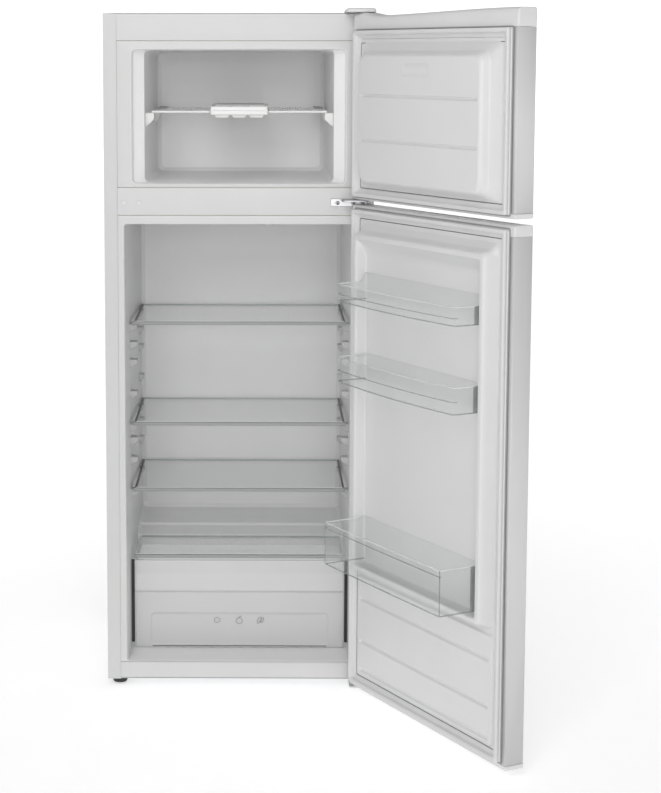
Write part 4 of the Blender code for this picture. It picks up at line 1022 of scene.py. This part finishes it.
def bin_plan(end, bow, radius, inset):
    """Plan of a bin, clockwise from the back at the hinge side, drawn in by inset."""
    half, back, front = 203.5 - inset, -28.6 - inset, end + inset
    corner = [(radius * (1 - across), radius * (1 - along)) for across, along in arc(0, 90, 6)]
    points = [(-half, back)]
    points += [(x - half, front + y) for x, y in corner]
    for share in (step / 20 for step in range(1, 20)):
        points.append(((2 * share - 1) * (half - radius), front - bow * 4 * share * (1 - share)))
    points += [(half - x, front + y) for x, y in reversed(corner)]
    points.append((half, back))
    return [(DOOR_MIDDLE + x, y) for x, y in points]


def side_points(plan):
    """The plan with more points along its two straight end walls."""
    return [*spread(plan[0], plan[1], 12), *plan[1:-2], *spread(plan[-2], plan[-1], 12), plan[-1]]


def door_bin(name, bottom, top, front_top, rib_height, end, bow, radius):
    """A clear bin. Its rim is at front_top, and rises to top where the bin hooks over the door's liner."""

    def plan(inset):
        return bin_plan(end, bow, radius, inset)

    def rim_height(y):
        return front_top + (top - front_top) * fade(y, -46, -34)

    loops = []
    for inset, up in ((4.5, 0), (2.6, 0.3), (1.0, 1.4), (0.4, 3.5), (0.2, front_top - 8 - bottom)):
        loops.append([(x, y, bottom + up) for x, y in side_points(plan(inset))])
    loops.append([(x, y, rim_height(y)) for x, y in side_points(plan(0))])
    add_loft(loops, "first")
    thicken(piece(name + "_shell", name, CLEAR, name, 50), 2)
    add_tube([(x, y, rim_height(y) - 1) for x, y in side_points(plan(0.9))], 1.2, 8)
    piece(name + "_rim", name, CLEAR_RIM)
    add_tube([(x, y, rib_height) for x, y in plan(0.6)[1:-1]], 0.9, 6)
    add_tube([(x, y, bottom + 1.6) for x, y in plan(1.6)], 1.3, 6)
    piece(name + "_ribs", name, CLEAR_EDGE)
    wall = 202.6
    x = DOOR_MIDDLE + wall
    add_box((x - 1.4, -53, bottom + 2), (x + 1.4, -44, front_top - 0.5))
    if radius < 5:
        for x in (DOOR_MIDDLE - wall, DOOR_MIDDLE + wall):
            upright(x, end + 1.2, bottom + 2, top - 2, 1.1, 8)
    round_edges(piece(name + "_end_flanges", name, CLEAR_EDGE), 0.4)


def scooped(x, y):
    """The freezer door's top: highest at both ends, with a long hollow between."""
    along = fade(x, 2, 60) * (1 - fade(x, 60, 500))
    return 6.5 * along * (1 - 0.15 * fade(y, 2, 20))


def grip(x, y):
    """The pocket for the fingers in the fridge door's top."""
    return 13 * fade(inside(x, y, (150, 500, 4, 17.3, 4)), -0.4, 0.9)


def doors():
    door_sheet("freezer_door", 1031.4, 1356.8)
    door_sheet("fridge_door", 27.4, 990.6)
    door_cap("freezer_door", "top", 1357.2, 1391, 9, scooped)
    door_cap("freezer_door", "bottom", 1022, 1031, 2.5)
    door_cap("fridge_door", "top", 991, 1011, 4, grip, (150, 500))
    door_cap("fridge_door", "bottom", 18.2, 27, 2.5)
    seal("freezer_door", 1028.5, 1356, 1332)
    seal("fridge_door", 31, 1003.5, 986.3)
    freezer_door_panel()
    fridge_door_panel()
    door_bin("door_bin_upper", 828, 882, 864, 843, -98, 10, 9)
    door_bin("door_bin_middle", 668, 721, 719, 692, -98, 10, 9)
    door_bin("bottle_rack", 301, 390, 388, 376, -122, 1, 4)


# ---- compressor room and condenser


def compressor():
    x, y, base = 120, 372, 31.4
    profile = [(0, 128), (14, 127.6), (30, 124.2), (44, 116.5), (53, 106), (57.4, 92), (58, 84), (58, 63)]
    profile += [(59.6, 62.4), (59.6, 58.6), (58, 58), (58, 24), (56.6, 17), (52, 8), (44, 1.4), (30, 0)]
    profile.append((0, 0))
    add_turned(profile, (x, y, base), 48)
    for beam_y in (y - 32, y + 32):
        add_box((x - 60, beam_y - 9, base), (x + 60, beam_y + 9, base + 2.2))
        for foot_x in (x - 52, x + 52):
            upright(foot_x, beam_y, 21.6, 31.5, 9, 20, 7.5)
            upright(foot_x, beam_y, 31.5, 35.5, 3.2, 12)
    round_edges(piece("compressor_can", "cabinet", BLACK_STEEL, "compressor"), 0.8)


def pipes():
    """The copper pipes between compressor, condenser and evaporator, and the drier that one runs through."""
    suction = [(176, 372, 70), (188, 376, 72), (196, 384, 82), (199, 392, 110), (199, 398, 180)]
    suction.append((196, 402, 226))
    discharge = [(98, 318, 64), (92, 308, 66), (60, 304, 74), (10, 306, 90), (-30, 330, 100), (-52, 380, 112)]
    discharge += [(-60, 400, 150), (-60, 404, 168)]
    capillary = [(-60, 404, 62), (-60, 404, 48), (-66, 400, 40), (-84, 394, 42), (-98, 396, 60)]
    capillary += [(-100, 400, 120), (-100, 404, 228)]
    process = [(104, 426, 60), (104, 433, 62), (103, 437, 70), (102, 438, 96)]
    drier = [(0, 170), (3, 170), (3.4, 164), (9, 154), (9, 76), (3.4, 66), (2.2, 60), (0, 60)]
    for path, radius in ((suction, 3.2), (discharge, 2.4), (capillary, 1.1), (process, 2.4)):
        add_tube(smooth_line(path, 5), radius, 12)
    add_turned(drier, (-60, 404, 0), 28)
    piece("refrigerant_pipes", "cabinet", COPPER, "filter_drier", 50)


def room_fittings():
    """The relay's cover with its vents, the pan that catches the defrost water, and the hose into it."""
    levels = ((5, 22), (1.5, 23), (0, 26), (0, 57), (1.2, 60.8))
    add_stack((346, 398, 71.4, 129.4), 5, levels, "x")
    for z in range(82, 119, 9):
        add_box((21.4, 358, z), (23.5, 386, z + 3))
    piece("relay_cover", "cabinet", BLACK_PLASTIC, "compressor_relay_box")
    levels = ((5, 159.8), (2.2, 160.4), (1, 162), (0.4, 170), (0, 181.5), (-1.6, 182.4), (-1.6, 183.8))
    add_stack((36.6, 178.4, 327.6, 426.4), 7, levels, steps=6, closed="first")
    thicken(piece("drip_pan", "cabinet", BLACK_PLASTIC, "evaporation_tray"), 1.6)
    profile = [(0, 320), (7, 320), (7, 214), (8.6, 212), (8.6, 206), (7, 204), (7, 193), (5.6, 190), (0, 190)]
    add_turned(profile, (60, 406, 0), 24)
    piece("drain_hose", "cabinet", BLACK_PLASTIC, "drain_tube")


def condenser():
    """The wire-on-tube condenser: one folded tube, with wires welded across its rows."""
    half, rows, pitch, bottom, y = 205, 10, 82, 372, 460
    bend = pitch / 2
    straight = half - bend
    points = [(-straight, y, 250)]
    for row in range(rows):
        z = bottom + row * pitch
        side = 1 if row % 2 == 0 else -1
        points += [(-side * straight, y, z), (side * straight, y, z)]
        if row == rows - 1:
            break
        for across, up in arc(-90, 90, 12)[1:-1]:
            points.append((side * (straight + bend * across), y, z + bend + bend * up))
    add_tube(points, 2.4, 12)
    piece("condenser_coil", "cabinet", BLACK_STEEL, "condenser_tube", 50)
    wires = 55
    for x in (-210 + index * 420 / (wires - 1) for index in range(wires)):
        for wire_y in (y - 1.6, y + 1.6):
            add_tube([(x, wire_y, 356), (x, wire_y, 1126)], 0.75, 6)
    for x in (-190, 190):
        for z in (380, 1102):
            add_box((x - 8, 446.5, z - 12), (x + 8, 448.5, z + 12))
            add_box((x - 6, 446.5, z - 3), (x + 6, y + 1, z + 3))
    piece("condenser_wires", "cabinet", BLACK_STEEL, "condenser_plate")


# ---- floor, light and camera


def floor_and_light():
    """A round pale floor that rises into a wall all round, and soft lamps in front and above."""
    rings = ((3, -0.002), (13, -0.002), (15.3, 0.2), (16.5, 0.9), (17, 2.2), (17, 4.2))
    loops = [[(radius * x, radius * y, height) for x, y in circle(96)] for radius, height in rings]
    add_loft(loops, "first")
    face_outwards()
    take_draft("backdrop", NEUTRAL)
    world = bpy.data.worlds.new("studio")
    bpy.context.scene.world = world
    world.use_nodes = True
    background = world.node_tree.nodes["Background"]
    background.inputs["Color"].default_value = (1.0, 1.0, 1.0, 1.0)
    background.inputs["Strength"].default_value = 0.30
    aim = Vector((0, 0, 0.9))
    for name, place, size, power in (
        ("front_softbox", (-0.6, -3.5, 2.7), (1.5, 1.5), 38),
        ("low_fill", (0.2, -4.4, 1.3), (1.2, 1.2), 28),
        ("top_softbox", (0, -0.8, 3.4), (2.6, 2.2), 10),
    ):
        data = bpy.data.lights.new(name, "AREA")
        data.shape = "RECTANGLE"
        data.size, data.size_y = size
        data.energy = power
        light = link(bpy.data.objects.new(name, data))
        light.location = place
        light.rotation_euler = (aim - Vector(place)).to_track_quat("-Z", "Y").to_euler()


def camera():
    """A nearly level view, looking down a little, with the rest of the drop as shift."""
    tilt, roll = math.radians(6.927), 0.0115
    data = bpy.data.cameras.new("camera")
    data.sensor_fit = "VERTICAL"
    data.sensor_height = 36
    data.sensor_width = 36
    data.lens = 85.061
    data.shift_x = 0.1146
    data.shift_y = -0.143
    made = link(bpy.data.objects.new("camera", data))
    made.location = CABINET @ Vector((0.044945, -3.773966, 1.306988))
    made.rotation_euler = (math.pi / 2 - tilt, 0, roll)
    bpy.context.scene.camera = made


# ---- build


def dress(material, *names):
    """Gives CAD nodes that stay visible their material."""
    for name in names:
        node = frame["nodes"][name]
        if not node.material_slots:
            node.data.materials.append(material)
        for material_slot in node.material_slots:
            material_slot.material = material


def build_cabinet():
    compartment("fridge_compartment", FRIDGE_RINGS, "fridge_liner", LINER)
    compartment("freezer_compartment", FREEZER_RINGS, "freezer_liner", LIGHTENED_LINER)
    tops = [height - 3.8 for _, height in SHELVES] + list(SPARE_LUG_TOPS)
    shelf_lugs("fridge_shelf_lugs", FRIDGE_RINGS, LUG, tops, (120, 330), 214.5, 28, 17)
    shelf_lugs("freezer_shelf_lugs", FREEZER_RINGS, WHITE_PART, (1190,), (82, 300), 174.5, 34, 27)
    floor_ribs()
    rail("bottom_rail", 20.8, 54.1)
    rail("middle_rail", 986.3, 1042.2)
    rail("top_rail", 1336.3, 1389.6)
    middle_hinge()
    hole_plugs()
    outer_hinges()
    feet()
    dress(STEEL, "outer_casing")
    dress(ZINC, "back_panel", "base_deck", "compressor_mount_plate")
    dress(FOAM, "cabinet_foam", "freezer_door_foam", "fridge_door_foam")
    dress(ALUMINIUM, "evaporator_plate")
    dress(BLACK_PLASTIC, "cable_gland")


def build_inside():
    for number, (body, height) in enumerate(SHELVES, start=1):
        glass_shelf(body, height, 295, f"shelf_{{}}_{number}")
    glass_shelf("crisper_cover", 255.5, 166, "crisper_cover_{}", CLEAR_RIM)
    wire_shelf()
    ice_tray()
    drawer_front()
    drawer_body()
    drawer_marks()
    drawer_gaps()
    thermostat()


build_cabinet()
build_inside()
doors()
compressor()
pipes()
room_fittings()
condenser()
floor_and_light()
camera()
bpy.context.scene.view_settings.view_transform = "Standard"
